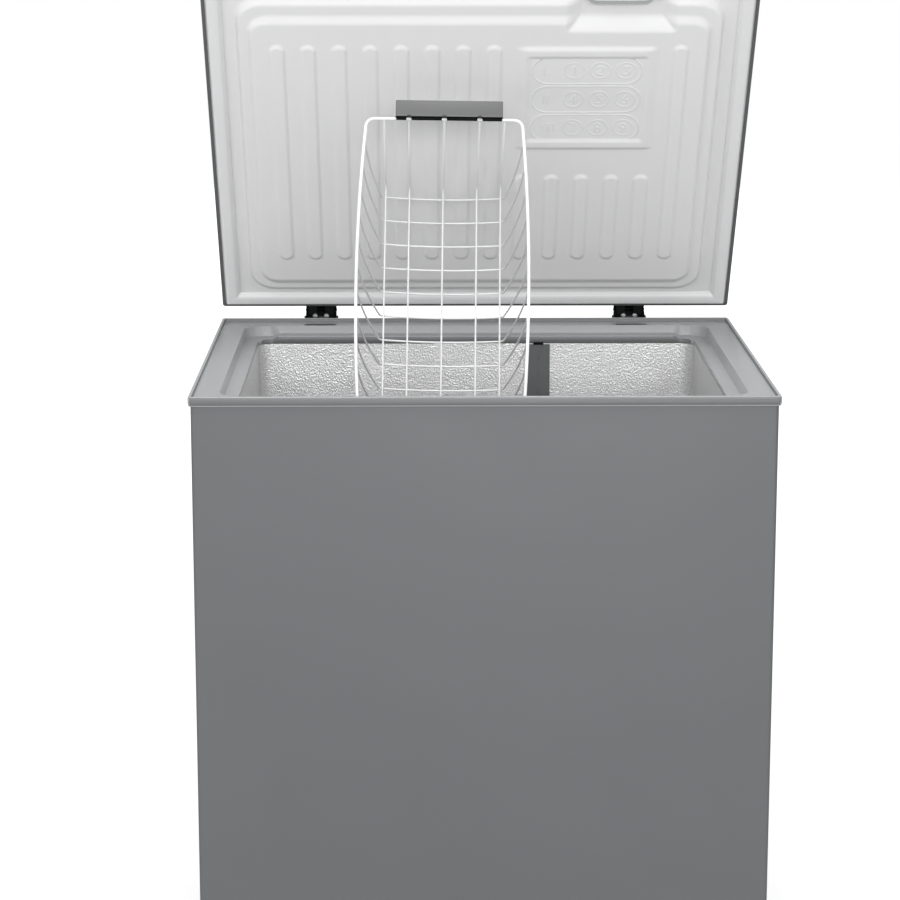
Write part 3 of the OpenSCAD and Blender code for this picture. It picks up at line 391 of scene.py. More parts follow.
PAINT = paint("cabinet_paint", (0.124, 0.1294, 0.133))
LID_PAINT = paint("lid_paint", (0.11, 0.115, 0.119))
FRAME_GREY = plastic("frame_plastic", (0.306, 0.313, 0.318), 0.3, 0.012, coat=0.2)
# painted shade: a darker copy of the frame's grey for the lip's outer face and its inner upright face
LIP_SHADE_GREY = plastic("frame_lip_shade", (0.113, 0.1156, 0.1171), 0.34, 0.012, coat=0.15)
# painted shade: a darker copy of the frame's grey for the upright rear edge under the opening's ledge
REAR_EDGE_SHADE = plastic("frame_edge_shade", (0.12, 0.122, 0.125), 0.45, 0.05)
WHITE_PANEL = plastic("panel_white", (0.665, 0.663, 0.665), 0.42, 0.008,
                      grain=500.0, depth=0.00003, gloss=0.2)
GASKET_WHITE = plastic("gasket_white", (0.66, 0.66, 0.663), 0.55, 0.015)
LINER = stucco("liner_stucco", (0.64, 0.64, 0.64))
WIRE_WHITE = plastic("wire_white", (0.72, 0.72, 0.725), 0.36, 0.02, coat=0.1)
GRIP_GREY = plastic("grip_grey", (0.096, 0.0965, 0.0965), 0.5, 0.012)
DARK = plastic("dark_plastic", (0.075, 0.08, 0.085), 0.5, 0.08)
STRIP = plastic("strip_grey", (0.08, 0.0856, 0.0864), 0.55, 0.08)
BLACK = plastic("hinge_black", (0.003, 0.0033, 0.0035), 0.6, 0.15, gloss=0.07)
RUBBER = plastic("rubber_black", (0.02, 0.02, 0.021), 0.75, 0.15, grain=700.0, depth=0.0001)
STEEL = metal("pin_steel", (0.2, 0.2, 0.205), 0.45)
SCREW = metal("screw_grey", (0.24, 0.24, 0.245), 0.5)
GALVANISED = metal("galvanised", (0.5, 0.51, 0.52), 0.42, (1, 1, 1))
COPPER = metal("copper", (0.75, 0.42, 0.26), 0.28)
ALUMINIUM = metal("coil_aluminium", (0.7, 0.71, 0.72), 0.35)
FOAM = foam("foam", (0.72, 0.6, 0.33))
LAMP_GREY = plastic("lamp_grey", (0.36, 0.37, 0.38), 0.42)
LAMP_CLEAR = lens("lamp_clear", (0.8, 0.8, 0.78), 0.25)
KNOB_LIGHT = plastic("knob_light", (0.62, 0.63, 0.64), 0.4)
DRAIN_WHITE = plastic("drain_white", (0.65, 0.655, 0.66), 0.45)
COMPRESSOR = paint("compressor_black", (0.018, 0.018, 0.02), 0.3, 0.0, 0.1)

NODE_MATERIALS = {
    "cabinet_wrapper": PAINT, "rear_panel": PAINT, "rear_cover": DARK, "base_pan": GALVANISED,
    "inner_liner": LINER, "top_frame": FRAME_GREY, "channel_cover": STRIP,
    "evaporator_coil": ALUMINIUM, "condenser_coil": COPPER, "frame_heater_tube": COPPER,
    "compressor_shell": COMPRESSOR, "compressor_plate": BLACK,
    "relay_cover": DARK, "filter_drier": COPPER, "suction_line": COPPER, "discharge_line": COPPER,
    "side_grille": DARK, "thermostat_body": LAMP_GREY, "thermostat_knob": KNOB_LIGHT,
    "inlet_gland": RUBBER, "drain_tube": DRAIN_WHITE, "drain_plug": DRAIN_WHITE,
    "lid_shell": LID_PAINT, "lid_foam": FOAM, "lid_inner_panel": WHITE_PANEL, "lid_gasket": GASKET_WHITE,
    "lid_handle": DARK, "lamp_housing": LAMP_GREY, "lamp_lens": LAMP_CLEAR,
    "basket_rim": WIRE_WHITE, "basket_long_wires": WIRE_WHITE, "basket_cross_wires": WIRE_WHITE,
    "basket_grip_top": GRIP_GREY, "basket_grip_bottom": GRIP_GREY,
    "indicator_0": lens("green_lens", (0.02, 0.35, 0.08)),
    "indicator_1": lens("red_lens", (0.5, 0.02, 0.015)),
    "indicator_2": lens("amber_lens", (0.7, 0.25, 0.02)),
}
for prefix, material in (("foam_", FOAM), ("foot_", RUBBER), ("grommet_", RUBBER), ("hinge_lower_", BLACK),
                         ("hinge_upper_", BLACK), ("hinge_pin_", STEEL), ("hinge_spring_", STEEL)):
    for name in nodes:
        if name.startswith(prefix):
            NODE_MATERIALS[name] = material

for name, obj in nodes.items():
    obj.data.materials.clear()
    obj.data.materials.append(NODE_MATERIALS[name])
    smooth_by_angle(obj)


# ---------- top frame ----------

EDGE_BOTTOM = LEDGE_Z - SIDE_DROP - 6.4
# The lip's profile from its lower edge over its top: inset from the outer face, height, corner radius.
LIP_PROFILE = [(3.2, -FRAME_FACE, 2.0), (1.2, -FRAME_FACE + 0.2, 3.0), (0.3, -FRAME_FACE + 1.6, 4.0),
               (0.0, -FRAME_FACE + 2.6, 4.0), (0.0, -1.4, 4.0), (0.25, -0.6, 4.0), (0.8, -0.12, 4.0),
               (1.5, 0.0, 4.0), (LIP_W - 1.2, 0.0, 3.0), (LIP_W - 0.5, -0.15, 3.0),
               (LIP_W - 0.1, -0.7, 2.5), (LIP_W + 0.1, -LIP_H + 0.9, 2.5),
               (LIP_W + 0.5, -LIP_H + 0.2, 2.5), (LIP_W + 1.3, -LIP_H, 2.0)]
# The riser below the shelf: inset from the shelf's edge, height, corner radius, 1 if it drops at the sides.
RISER_PROFILE = [(-1.6, -LIP_H, 28.0, 0), (-0.5, -LIP_H - 0.25, 29.0, 0), (0.0, -LIP_H - 1.0, 30.0, 0),
                 (1.0, LEDGE_Z + 1.4, 29.0, 1), (1.6, LEDGE_Z + 0.3, 28.0, 1), (2.8, LEDGE_Z, 28.0, 1)]
# The ledge's inner edge: outset from the opening, height, corner radius, 1 if it drops at the sides.
EDGE_PROFILE = [(1.5, LEDGE_Z, 21.0, 1), (0.5, LEDGE_Z - 0.3, 20.5, 1), (0.0, LEDGE_Z - 1.1, 20.0, 1),
                (0.0, EDGE_BOTTOM + 0.6, 20.0, 0), (0.5, EDGE_BOTTOM, 20.0, 0), (2.4, EDGE_BOTTOM, 20.0, 0)]
LIP_LEVEL_L = 60
LIP_RAMP_L = 30
LOW_LEDGE_X = 271.0
RISER_LEAN = 0.4
RISER_LEVEL_L = 150
RISER_RAMP_L = 90
RISER_RAMP = 6.5
RISER_BACK = 3.8
RISER_FORWARD = 1.6
LEDGE_RAMP_X = 6.0
LEDGE_RAMP_Y = 5.0
LOW_LEDGE_FRONT = SHELF_FRONT + 28


def frame_ring(half_x, front, rear, radius, z, low):
    """One loop of the frame, as scene positions."""
    points = loop_points(half_x, front, rear, radius, 25, 70)
    heights = np.full(len(points), float(z))
    if half_x > HALF_W - 5 and z < -FRAME_FACE + 2:
        # the front and sides of the lip hang lower than its back
        heights -= FACE_DROP * np.clip((DEPTH - LIP_LEVEL_L - points[:, 1]) / LIP_RAMP_L, 0, 1)
    if SHELF_X - 5 < half_x < SHELF_X + 1:
        # the riser steps back where the low side ledges run round the rear corners
        start = LOW_LEDGE_X + (z - LEDGE_Z) * RISER_LEAN
        rearward = np.clip((points[:, 1] - (DEPTH - RISER_LEVEL_L)) / RISER_RAMP_L, 0, 1)
        step = np.clip((np.abs(points[:, 0]) - start) / RISER_RAMP, 0, 1)
        points[:, 1] += rearward * (RISER_BACK * step - RISER_FORWARD)
    sideways = np.clip((np.abs(points[:, 0]) - LOW_LEDGE_X) / LEDGE_RAMP_X, 0, 1)
    backward = np.clip((points[:, 1] - LOW_LEDGE_FRONT) / LEDGE_RAMP_Y, 0, 1)
    heights -= low * SIDE_DROP * sideways * backward
    return place(np.column_stack([points, heights]))


def shade_frame(obj):
    """Paints shade on the frame: darker greys on the opening's rear edge and on the lip's upright faces."""
    obj.data.materials.append(REAR_EDGE_SHADE)
    obj.data.materials.append(LIP_SHADE_GREY)
    shade_from = FRONT + (OPENING_REAR - 25) * MM
    shade_to = FRONT + (OPENING_REAR + 5) * MM
    shade_top = RIM_Z + (LEDGE_Z - 0.9) * MM
    for face in obj.data.polygons:
        # painted shade on the upright rear edge below the ledge
        if face.normal.y < -0.6 and shade_from < face.center.y < shade_to and face.center.z < shade_top:
            face.material_index = 1
        middle = face.center - Vector((0, FRONT + DEPTH / 2 * MM, 0))
        outset = max(abs(middle.x) - HALF_W * MM, abs(middle.y) - DEPTH / 2 * MM)
        shaded_inner_face = abs(outset + (LIP_W + 0.1) * MM) < 0.5 * MM and abs(face.normal.z) < 0.5
        # painted shade on the lip's outer face and on its inner upright face
        if outset > -0.5 * MM or shaded_inner_face:
            face.material_index = 2


def build_top_frame():
    """The grey frame: lip, shelf for the gasket, step, ledges that drop at the sides, inner edge."""
    rings = []
    for inset, z, radius in LIP_PROFILE:
        rings.append(frame_ring(HALF_W - inset, inset, DEPTH - inset, radius, z, 0))
    for inset, z, radius, low in RISER_PROFILE:
        rings.append(frame_ring(SHELF_X - inset, SHELF_FRONT + inset, SHELF_REAR - inset, radius, z, low))
    for outset, z, radius, low in EDGE_PROFILE:
        rings.append(frame_ring(OPENING_X + outset, OPENING_FRONT - outset, OPENING_REAR + outset,
                                radius, z, low))
    obj = new_object("frame_moulding", *loft(rings), FRAME_GREY, "cabinet")
    outward(obj)
    smooth_by_angle(obj, 40)
    shade_frame(obj)
    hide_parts("top_frame")


SLOT_HALF_W = 21.5


def build_slot_shades():
    """A thin black plate on the shelf in front of each hinge: painted shade standing for the slot."""
    for side, sign in SIDES:
        verts, faces = bevelled_box(sign * HINGE_X - SLOT_HALF_W, sign * HINGE_X + SLOT_HALF_W,
                                    SHELF_REAR + 2.5, SHELF_REAR + 8, -LIP_H - 0.4, -LIP_H + 0.12, 0.1)
        outward(new_object("frame_slot_shade_" + side, place(verts), faces, BLACK, "cabinet"))


CLIP_HALF_W = 6.6


def build_channel_clip():
    """The black clip over the sensor channel's cover."""
    low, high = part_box("channel_cover")
    middle = (low.x + high.x) / 2
    verts, faces = bevelled_box(middle - CLIP_HALF_W * MM, middle + CLIP_HALF_W * MM, low.y + 0.6 * MM,
                                high.y + 0.3 * MM, high.z - 0.5 * MM, high.z + 2.7 * MM, 0.5 * MM)
    outward(new_object("channel_clip", verts, faces, BLACK, "cabinet"))


WEB_HALF_W = 21.6
WEB_OUTER_R = 15.1
WEB_INNER_R = 12.4
WEB_FROM = 136
WEB_TO = 110
SCREW_X = (-8.2, 7.5)
SCREW_Z = 5.3
SCREW_SIDES = 24
# A screw head's profile: radius, distance along the depth from the pivot.
SCREW_PROFILE = ((0.4, -9.7), (2.6, -9.7), (3.6, -9.2), (4.0, -8.4), (4.0, -5.0))


def build_hinge_webs():
    """Each upper hinge's bent web outside the cheeks, and the two screw heads beside its spring."""
    turn = np.radians(np.linspace(WEB_FROM, WEB_TO, 9))
    arc = np.column_stack([np.cos(turn), np.sin(turn)])
    profile = np.vstack([arc * WEB_OUTER_R, arc[::-1] * WEB_INNER_R])
    size = len(profile)
    round_head = np.linspace(0, 2 * math.pi, SCREW_SIDES, endpoint=False)
    for side, sign in SIDES:
        ends = [np.column_stack([np.full(size, sign * HINGE_X + x), profile])
                for x in (-WEB_HALF_W, WEB_HALF_W)]
        faces = [range(size), range(2 * size - 1, size - 1, -1)]
        faces += [(i, size + i, size + (i + 1) % size, (i + 1) % size) for i in range(size)]
        verts = around_pivot(np.vstack(ends))
        outward(new_object("hinge_web_" + side, verts, faces, BLACK, "lid", OPEN_LID))
        for number, x in enumerate(SCREW_X):
            rings = []
            for radius, y in SCREW_PROFILE:
                ring = np.column_stack([sign * HINGE_X + x + radius * np.cos(round_head),
                                        np.full(SCREW_SIDES, y), SCREW_Z + radius * np.sin(round_head)])
                rings.append(around_pivot(ring))
            verts, faces = loft(rings)
            faces.append(range(SCREW_SIDES))
            outward(new_object("hinge_screw_%s_%d" % (side, number), verts, faces, SCREW, "lid"))


# ---------- lid panel ----------


def rect_distance(x, y, sides, radius):
    """Signed distance to a rectangle with round corners; negative inside."""
    x0, x1, y0, y1 = sides
    past_x = np.abs(x - (x0 + x1) / 2) - (x1 - x0) / 2 + radius
    past_y = np.abs(y - (y0 + y1) / 2) - (y1 - y0) / 2 + radius
    outside = np.hypot(np.maximum(past_x, 0), np.maximum(past_y, 0))
    return outside + np.minimum(np.maximum(past_x, past_y), 0) - radius


def rise(distance, width):
    """0 outside a form, 1 inside its slope of a given width."""
    share = np.clip(-distance / width, 0, 1)
    return share * (0.6 + 0.4 * share * (3 - 2 * share))


def stepped(x, y, sides, radius, side_slope, end_slope):
    """0 outside a rectangle with round corners, 1 inside its slopes at the sides and at the ends."""
    x0, x1, y0, y1 = sides
    past_x = np.maximum(np.abs(x - (x0 + x1) / 2) - (x1 - x0) / 2 + radius, 0) ** 2
    past_y = np.maximum(np.abs(y - (y0 + y1) / 2) - (y1 - y0) / 2 + radius, 0) ** 2
    both = past_x + past_y
    end_share = np.where(both > 0, past_y / np.maximum(both, 1e-9), 1.0)
    return rise(rect_distance(x, y, sides, radius), side_slope + (end_slope - side_slope) * end_share)


def soft_rect(x, y, sides, slope_x, slope_y):
    """0 outside a rectangle, 1 inside its slopes, one width across and another along."""
    x0, x1, y0, y1 = sides
    return rise(-np.minimum(x - x0, x1 - x), slope_x) * rise(-np.minimum(y - y0, y1 - y), slope_y)


def stroke_distance(x, y, points):
    """Distance to a line drawn through points."""
    best = np.full(np.shape(x), 1e9)
    for (ax, ay), (bx, by) in zip(points, points[1:]):
        dx, dy = bx - ax, by - ay
        along = np.clip(((x - ax) * dx + (y - ay) * dy) / max(dx * dx + dy * dy, 1e-9), 0, 1)
        best = np.minimum(best, np.hypot(x - ax - along * dx, y - ay - along * dy))
    return best


# Plain numbers, as strokes in a box one unit wide and two high.
DIGITS = {
    1: [(0.2, 1.6), (0.6, 2), (0.6, 0)],
    2: [(0, 1.6), (0.2, 2), (0.8, 2), (1, 1.6), (1, 1.3), (0, 0), (1, 0)],
    3: [(0, 2), (1, 2), (0.5, 1.15), (1, 0.8), (1, 0.3), (0.7, 0), (0.2, 0), (0, 0.3)],
    4: [(0.8, 0), (0.8, 2), (0, 0.6), (1, 0.6)],
    5: [(1, 2), (0.1, 2), (0, 1.1), (0.6, 1.25), (1, 0.9), (1, 0.3), (0.6, 0), (0, 0.1)],
    6: [(0.8, 2), (0.1, 1), (0, 0.4), (0.3, 0), (0.7, 0), (1, 0.4), (1, 0.8), (0.7, 1.1), (0.1, 0.9)],
    7: [(0, 2), (1, 2), (0.4, 0)],
    8: [(0.5, 1.1), (0.1, 1.4), (0.1, 1.8), (0.4, 2), (0.7, 2), (0.9, 1.8), (0.9, 1.4), (0.5, 1.1),
        (0, 0.7), (0, 0.2), (0.3, 0), (0.7, 0), (1, 0.2), (1, 0.7), (0.5, 1.1)],
    9: [(0.2, 0), (0.9, 1), (1, 1.6), (0.7, 2), (0.3, 2), (0, 1.6), (0, 1.2), (0.3, 0.9), (0.9, 1.1)],
}
DIGIT_SIZE = 6.5

RIB_PITCH = 39.4
RIB_SHIFT = 1.3
RIB_W = 20.5
RIB_H = 2.4
RIB_COUNT = 14
RIB_FRONT = 125.5
RIB_SHORT = 340.0
RIB_REAR = 490.0
OUTER_STEP = 8.0
INNER_STEP = 5.0
OUTER_FORM = (-309.0, 308.0, 57.5, DEPTH - 31)
INNER_FORM = (-294.0, 292.0, 82.5, DEPTH - 49)
LAMP_POCKET = (108.0, 248.0, -80.0, 105.5)
GUIDE = (46.0, 228.0, DEPTH - 460.0, DEPTH - 292.0)
GUIDE_H = 3.0
GUIDE_FLOOR = (59.0, 216.0, DEPTH - 446.0, DEPTH - 306.0)
GUIDE_SINK = 2.2
RING_FIRST = 62
RING_PITCH = 33
RING_R = 12.5
BAR_FIRST = 24
BAR_PITCH = 6.5
BAR_HALF_L = 6


def guide_marks(x, y):
    """Three pill outlines, each with three numbered rings and a row of bars. Heights in millimetres."""
    height = np.zeros(np.shape(x))
    x0, x1, y0, y1 = GUIDE_FLOOR
    pitch = (y1 - y0) / 3
    for row in range(3):
        row_y = y0 + pitch * (row + 0.5)
        pill = (x0 + 8, x1 - 9, row_y - pitch / 2 + 2, row_y + pitch / 2 - 2)
        height += 0.9 * rise(np.abs(rect_distance(x, y, pill, pitch / 2 - 2.01)) - 1.1, 1.1)
        for column in range(3):
            ring_x = x0 + RING_FIRST + RING_PITCH * column
            ring = np.abs(np.hypot(x - ring_x, y - row_y) - RING_R)
            height += 0.7 * rise(ring - 1.0, 1.0)
            # the lid hangs open, so the numbers' tops point to its front edge
            stroke = [(ring_x + (px - 0.5) * DIGIT_SIZE, row_y - (py - 1) * DIGIT_SIZE)
                      for px, py in DIGITS[3 * row + column + 1]]
            height += 0.8 * rise(stroke_distance(x, y, stroke) - 1.0, 0.9)
        for number in range(row + 1):
            bar_x = x0 + BAR_FIRST + BAR_PITCH * number
            bar = stroke_distance(x, y, [(bar_x, row_y - BAR_HALF_L), (bar_x, row_y + BAR_HALF_L)])
            height += 0.8 * rise(bar - 1.4, 1.0)
    return height


def panel_height(x, y):
    """How far the lid's inner panel stands towards the compartment, in millimetres."""
    height = OUTER_STEP * stepped(x, y, OUTER_FORM, 36, 4.0, 10)
    height = height + INNER_STEP * stepped(x, y, INNER_FORM, 26, 4.5, 11)
    height = height * (1 - rise(rect_distance(x, y, LAMP_POCKET, 6), 19))
    for number in range(RIB_COUNT):
        middle = (number - (RIB_COUNT - 1) / 2) * RIB_PITCH - RIB_SHIFT
        # the ribs beside the storage guide are short
        front = RIB_SHORT if 7 < number < 13 else RIB_FRONT
        rib = (middle - RIB_W / 2, middle + RIB_W / 2, front, RIB_REAR)
        height = height + RIB_H * rise(rect_distance(x, y, rib, RIB_W / 2 - 0.01), 3.0)
    height = height + GUIDE_H * soft_rect(x, y, GUIDE, 14, 4.5)
    return height - GUIDE_SINK * soft_rect(x, y, GUIDE_FLOOR, 8, 3.5)


def grid_lines(start, end, step, breaks=()):
    """Grid lines from start to end near a pitch, with lines exactly at the breaks."""
    stops = [start, *breaks, end]
    lines = []
    for low, high in zip(stops, stops[1:]):
        count = max(1, round((high - low) / step))
        lines.extend(np.linspace(low, high, count + 1)[:-1])
    return np.array([*lines, end])


def grid_patch(xs, ys, height, hole=None):
    """A height field over grid lines as (verts, faces), closed lid's axes, open where the hole is."""
    grid_x, grid_y = np.meshgrid(xs, ys, indexing="ij")
    down = LID_PLANE - height(grid_x, grid_y)
    verts = place(np.column_stack([grid_x.ravel(), grid_y.ravel(), down.ravel()]))
    faces = []
    columns = len(ys)
    for i in range(len(xs) - 1):
        for j in range(columns - 1):
            middle_x = (xs[i] + xs[i + 1]) / 2
            middle_y = (ys[j] + ys[j + 1]) / 2
            if hole and hole[0] < middle_x < hole[1] and hole[2] < middle_y < hole[3]:
                continue
            first = i * columns + j
            faces.append((first, first + 1, first + columns + 1, first + columns))
    return verts, faces


def build_lid_panel():
    """The white moulded panel: two steps, ribs, lamp pocket and the embossed numbers."""
    x0, x1, y0, y1 = GUIDE_FLOOR
    hole = (x0 + 5, x1 - 5, y0 + 5, y1 - 5)
    edge = 1.2
    coarse = grid_patch(grid_lines(-HALF_W + edge, HALF_W - edge, 1.5, hole[:2]),
                        grid_lines(edge, DEPTH - edge, 2.2, hole[2:]), panel_height, hole)
    fine = grid_patch(grid_lines(hole[0], hole[1], 0.8), grid_lines(hole[2], hole[3], 0.8),
                      lambda x, y: panel_height(x, y) + guide_marks(x, y))
    obj = new_object("lid_panel", *merge([coarse, fine]), WHITE_PANEL, "lid", OPEN_LID)
    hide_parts("lid_inner_panel")


GASKET_INSET = LIP_W + 1.5
GASKET_LOW = -LIP_H + 0.3
# The gasket's profile from its outer to its inner edge: inset from its outer edge, height.
GASKET_PROFILE = [(0.4, LID_PLANE - 0.2), (0.0, LID_PLANE - 1.8), (0.5, LID_PLANE - 2.8),
                  (1.1, GASKET_LOW + 1.6), (2.0, GASKET_LOW + 0.6), (3.4, GASKET_LOW + 0.1),
                  (5.0, GASKET_LOW), (9.0, GASKET_LOW), (13.5, GASKET_LOW + 0.15),
                  (15.3, GASKET_LOW + 0.7), (16.6, GASKET_LOW + 1.7), (17.6, GASKET_LOW + 2.9),
                  (18.4, LID_PLANE - 2.9), (19.4, LID_PLANE - 2.4), (20.0, LID_PLANE - 1.6),
                  (20.0, LID_PLANE - 0.2)]


def build_gasket():
    """The magnetic gasket: a mitred strip with round edges."""
    rings = []
    for inset, z in GASKET_PROFILE:
        reach = GASKET_INSET + inset
        points = loop_points(HALF_W - reach, reach, DEPTH - reach, 0.6, 3, 30)
        rings.append(place(np.column_stack([points, np.full(len(points), z)])))
    obj = new_object("gasket_strip", *loft(rings), GASKET_WHITE, "lid", OPEN_LID)
    outward(obj)
    smooth_by_angle(obj, 50)
    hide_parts("lid_gasket")


# ---------- basket ----------

# Sizes in millimetres in the basket's own axes: x across, y into its depth, z along it.
BASKET_W = 216.0
BASKET_END_W = 198.0
BASKET_L = 430.0
BASKET_D = 204.5
FLOOR_X = 80.0
TAPER = 14.0
SAG = 8.0
SIDE_BOW = 4.0
RIM_R = 2.0
RIM_CORNER = 11.0
THIN_R = 1.2
WELD = 0.15
WIRE_START = RIM_R + 2 * WELD
LONG_CORNER = 12
CROSS_CORNER = 7.0
GRIP_W = 134.0
GRIP_H = 24.5
GRIP_T = 13.0
GRIP_X = 6.0
GRIP_NOTCH = 2.2
LEAN = math.radians(28.0)
ROLL = math.radians(0.9)
CROSS_PITCH = 33.0
CROSS_FIRST = 27.0
LONG_X = [share * BASKET_W for share in (-0.349, -0.205, 0.0, 0.205, 0.349)]
BASKET_CLEAR = 0.5
BASKET_X = -45.5
BASKET_Y = (OPENING_FRONT + BASKET_CLEAR + (GRIP_T / 2 + 1) * math.cos(LEAN)
            + (BASKET_L + GRIP_H - 2 * RIM_R) * math.sin(LEAN))
BASKET_TOP = 303.0
BASKET_MATRIX = (Matrix.Translation(Vector(place([BASKET_X, BASKET_Y, BASKET_TOP])))
                 @ Matrix.Rotation(-LEAN, 4, "X") @ Matrix.Rotation(ROLL, 4, "Y") @ Matrix.Scale(MM, 4))


def half_width(z):
    """From the basket's middle to the middle of its rim wire, which bows out towards the middle."""
    bow = (BASKET_W - BASKET_END_W) / 2 * (1 - (2 * z / BASKET_L + 1) ** 2)
    return BASKET_END_W / 2 + bow - RIM_R


def floor_y(x):
    """Depth of a cross wire's middle line."""
    return BASKET_D - THIN_R + SAG * (1 - (x / FLOOR_X) ** 2)


def mirrored(points):
    """The same points on the basket's other side, in reverse order."""
    return np.asarray(points)[::-1] * np.array([-1.0, 1.0, 1.0])


def rim_path():
    """The rim wire's closed middle line."""
    top, bottom = -RIM_R, RIM_R - BASKET_L
    zs = np.linspace(-RIM_CORNER, RIM_CORNER - BASKET_L, 33)
    side = np.column_stack([half_width(zs), np.zeros_like(zs), zs])
    end_x = half_width(top)
    upper = round_path([[0, 0, top], [end_x, 0, top], side[2]], RIM_CORNER)[1:-1]
    lower = round_path([side[-3], [end_x, 0, bottom], [0, 0, bottom]], RIM_CORNER)[1:-1]
    right = np.concatenate([upper, side[3:-3], lower])
    return np.concatenate([right, mirrored(right)])


def long_path(x):
    """A lengthwise wire's middle line: down from the rim, along the floor and up again."""
    depth = floor_y(x) - 2 * THIN_R - (1.8 if abs(x) > FLOOR_X - 8 else WELD)
    corners = [[x, WIRE_START, -RIM_R], [x, depth, -TAPER], [x, depth, TAPER - BASKET_L],
               [x, WIRE_START, RIM_R - BASKET_L]]
    return round_path(corners, LONG_CORNER, 9)


def cross_path(z):
    """A cross wire's middle line: down one side, across the floor and up the other side."""
    share = np.linspace(0, 1, 13)[:-1]
    reach = half_width(z)
    wall = np.column_stack([reach + (FLOOR_X - reach) * share + 4 * SIDE_BOW * share * (1 - share),
                            WIRE_START + (floor_y(FLOOR_X) - WIRE_START) * share, np.full_like(share, z)])
    xs = np.linspace(FLOOR_X, -FLOOR_X, 19)[1:-1]
    flat = np.column_stack([xs, floor_y(xs), np.full_like(xs, z)])
    foot = np.array([FLOOR_X, floor_y(FLOOR_X), z])
    bend = round_path([wall[-1], foot, flat[0]], CROSS_CORNER)[1:-1]
    return np.concatenate([wall, bend, flat[1:-1], mirrored(bend), mirrored(wall)])


def build_wires():
    """White coated wires, welded where they cross."""
    longs = [tube(long_path(x), THIN_R, False, 10) for x in LONG_X]
    count = int((BASKET_L - 2 * CROSS_FIRST) // CROSS_PITCH) + 1
    zs = [-CROSS_FIRST - CROSS_PITCH * number for number in range(count)]
    crosses = [tube(cross_path(z), THIN_R, False, 10) for z in zs]
    for name, node, (verts, faces) in (
            ("basket_rim_wire", "basket_rim", tube(rim_path(), RIM_R, True, 16)),
            ("basket_lengthwise", "basket_long_wires", merge(longs)),
            ("basket_crosswise", "basket_cross_wires", merge(crosses))):
        obj = new_object(name, verts, faces, WIRE_WHITE, "basket", BASKET_MATRIX)
        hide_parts(node)


def build_grips():
    """Plain grey grips clipped over the rim's ends, notched where the wires pass; their faces below the rim
    are black as painted shade.
    """
    half = GRIP_W / 2
    face = -GRIP_T / 2 - 1
    parts = [bevelled_box(-half, half, face, GRIP_T / 2 - 1, 0.4, GRIP_H - 2 * RIM_R, 0.8)]
    stops = [-half, *[x - GRIP_X for x in LONG_X[1:-1]], half]
    for start, end in zip(stops, stops[1:]):
        x0 = start + (GRIP_NOTCH if start > -half else 0)
        x1 = end - (GRIP_NOTCH if end < half else 0)
        parts.append(bevelled_box(x0, x1, face, -RIM_R - 0.3, -1.4, 1.6, 0.3))
        parts.append(bevelled_box(x0 + 1, x1 - 1, face + 1.6, -RIM_R - 0.3, -2 * RIM_R - 0.6, -1.2, 0.4))
    verts, faces = merge(parts)
    # painted shade: the grip's faces below the rim, in the gap under the wires, are drawn black
    shaded_below_rim = [all(verts[index][2] < -1.0 for index in polygon) for polygon in faces]
    flipped = Matrix.Translation((GRIP_X, 0, -BASKET_L)) @ Matrix.Scale(-1, 4, (0, 0, 1))
    upright = Matrix.Translation((GRIP_X, 0, 0))
    for name, matrix in (("basket_grip_top", upright), ("basket_grip_bottom", flipped)):
        grip = new_object(name + "_moulding", verts, faces, GRIP_GREY, "basket", BASKET_MATRIX @ matrix)
        outward(grip)
        smooth_by_angle(grip, 45)
        grip.data.materials.append(BLACK)
        for polygon, dark in zip(grip.data.polygons, shaded_below_rim):
            polygon.material_index = int(dark)
        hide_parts(name)


# ---------- hinges ----------

SPRING_TURNS = 4
SPRING_WIRE_R = 1.2


def build_hinge_springs():
    """Real coils round the hinge pins."""
    for side in ("left", "right"):
        low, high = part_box("hinge_spring_" + side)
        share = np.linspace(0, 1, SPRING_TURNS * 20)
        radius = (high.z - low.z) / 2 - 1.25 * MM
        middle = (low + high) / 2
        angle = 2 * math.pi * SPRING_TURNS * share
        x = low.x + 1.3 * MM + (high.x - low.x - 2.6 * MM) * share
        path = np.column_stack([x, middle.y + radius * np.cos(angle), middle.z + radius * np.sin(angle)])
        verts, faces = tube(path, SPRING_WIRE_R * MM, False, 8)
        obj = new_object("hinge_coil_" + side, verts, faces, STEEL, "cabinet")
        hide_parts("hinge_spring_" + side)


build_top_frame()
build_slot_shades()
build_channel_clip()
build_hinge_webs()
build_lid_panel()
build_gasket()
build_wires()
build_grips()
build_hinge_springs()

# ---------- camera ----------

CAMERA_FROM_FRONT = Vector((-74.1, -3167.8, 602.1)) * MM
PITCH = math.radians(11.87)
YAW = math.radians(0.592)
SENSOR_W = 36
FOCAL = 109.75

camera = bpy.data.objects.new("camera", bpy.data.cameras.new("camera"))
bpy.context.scene.collection.objects.link(camera)
camera.data.sensor_width = SENSOR_W
camera.data.lens = FOCAL
camera.location = CAMERA_FROM_FRONT + Vector((0, FRONT, RIM_Z))
camera.rotation_euler = (math.pi / 2 - PITCH, 0, -YAW)
camera.data.clip_end = 50
bpy.context.scene.camera = camera

# ---------- floor, world and lamps ----------

FLOOR_REACH = 9.0
GLOW_NEAR = 0.67
GLOW_FROM = 1.2
GLOW_TO = 4.0


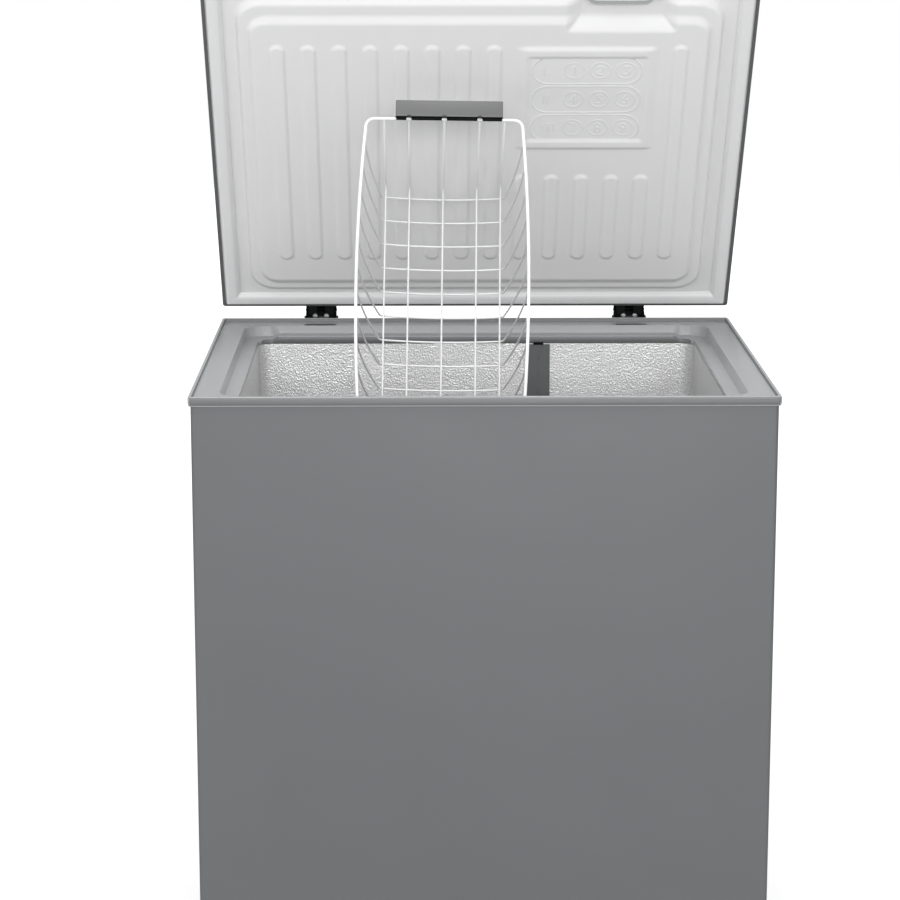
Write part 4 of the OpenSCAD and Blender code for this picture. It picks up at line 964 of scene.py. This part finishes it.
def build_floor():
    """A pale floor that shows white to the camera, keeps the freezer's shadow and is clear from below."""
    shader = Shader("studio_floor")
    position = shader.place()
    mottle = shader.ramp(shader.noise(position, 3.0), grey(0.44), grey(0.46))
    shader.set(Base_Color=mottle, Roughness=0.9, Specular_IOR_Level=0.0)
    surface = shader.bsdf.outputs[0]
    away = shader.add("ShaderNodeVectorMath", {0: position}, operation="LENGTH").outputs["Value"]
    fade = shader.add("ShaderNodeMapRange", {"Value": away, "From Min": GLOW_FROM, "From Max": GLOW_TO,
                                             "To Min": GLOW_NEAR, "To Max": 1.0},
                      interpolation_type="SMOOTHSTEP").outputs["Result"]
    glow = shader.add("ShaderNodeEmission", {"Strength": fade}).outputs[0]
    lit = shader.add("ShaderNodeAddShader", {0: surface, 1: glow}).outputs[0]
    camera_ray = shader.add("ShaderNodeLightPath").outputs["Is Camera Ray"]
    above = shader.add("ShaderNodeMixShader", {0: camera_ray, 1: surface, 2: lit}).outputs[0]
    backfacing = shader.add("ShaderNodeNewGeometry").outputs["Backfacing"]
    clear = shader.add("ShaderNodeBsdfTransparent").outputs[0]
    both = shader.add("ShaderNodeMixShader", {0: backfacing, 1: above, 2: clear}).outputs[0]
    shader.tree.links.new(both, shader.tree.nodes["Material Output"].inputs["Surface"])
    mesh = bpy.data.meshes.new("studio_floor")
    corners = [(x * FLOOR_REACH, y * FLOOR_REACH, 0) for x, y in ((-1, -1), (1, -1), (1, 1), (-1, 1))]
    mesh.from_pydata(corners, [], [(0, 1, 2, 3)])
    obj = bpy.data.objects.new("studio_floor", mesh)
    mesh.materials.append(shader.material)
    bpy.context.scene.collection.objects.link(obj)


def build_world():
    """White to the camera and through clear pieces, softer as a light."""
    world = bpy.data.worlds.new("studio")
    bpy.context.scene.world = world
    world.use_nodes = True
    tree = world.node_tree
    tree.nodes.clear()
    path = add_node(tree, "ShaderNodeLightPath").outputs
    seen = add_node(tree, "ShaderNodeMath", {0: path["Is Camera Ray"], 1: path["Is Transmission Ray"]},
                    operation="MAXIMUM")
    light = add_node(tree, "ShaderNodeBackground", {"Color": (0.98, 0.99, 1.0, 1), "Strength": 0.62})
    white = add_node(tree, "ShaderNodeBackground", {"Color": (1, 1, 1, 1), "Strength": 1.0})
    mix = add_node(tree, "ShaderNodeMixShader",
                   {0: seen.outputs[0], 1: light.outputs[0], 2: white.outputs[0]})
    add_node(tree, "ShaderNodeOutputWorld", {0: mix.outputs[0]})


def area_light(name, position, target, size, power):
    """A rectangular lamp that faces a target."""
    data = bpy.data.lights.new(name, "AREA")
    data.shape = "RECTANGLE"
    data.size, data.size_y = size
    data.energy = power
    obj = bpy.data.objects.new(name, data)
    bpy.context.scene.collection.objects.link(obj)
    obj.location = position
    obj.rotation_euler = (Vector(target) - Vector(position)).to_track_quat("-Z", "Y").to_euler()


build_floor()
build_world()
area_light("key", (-2.2, -2.6, 3.2), (0, 0, 0.8), (1.8, 1.8), 26)
area_light("fill", (2.6, -2.4, 1.8), (0, 0, 0.7), (1.6, 2.2), 16)
area_light("side", (-3.4, -2.3, 0.85), (0, 0.25, 1.05), (1.0, 0.6), 22)
area_light("top", (0.0, -0.6, 3.4), (0, 0.1, 0.8), (1.2, 1.2), 42)
area_light("front", (0.2, -4.8, 1.95), (0, 0, 0.85), (3.0, 1.2), 121)
area_light("low", (0.25, -3.9, 0.06), (0.1, -0.3, 0.7), (1.4, 0.5), 14)
bpy.context.scene.view_settings.view_transform = "Standard"
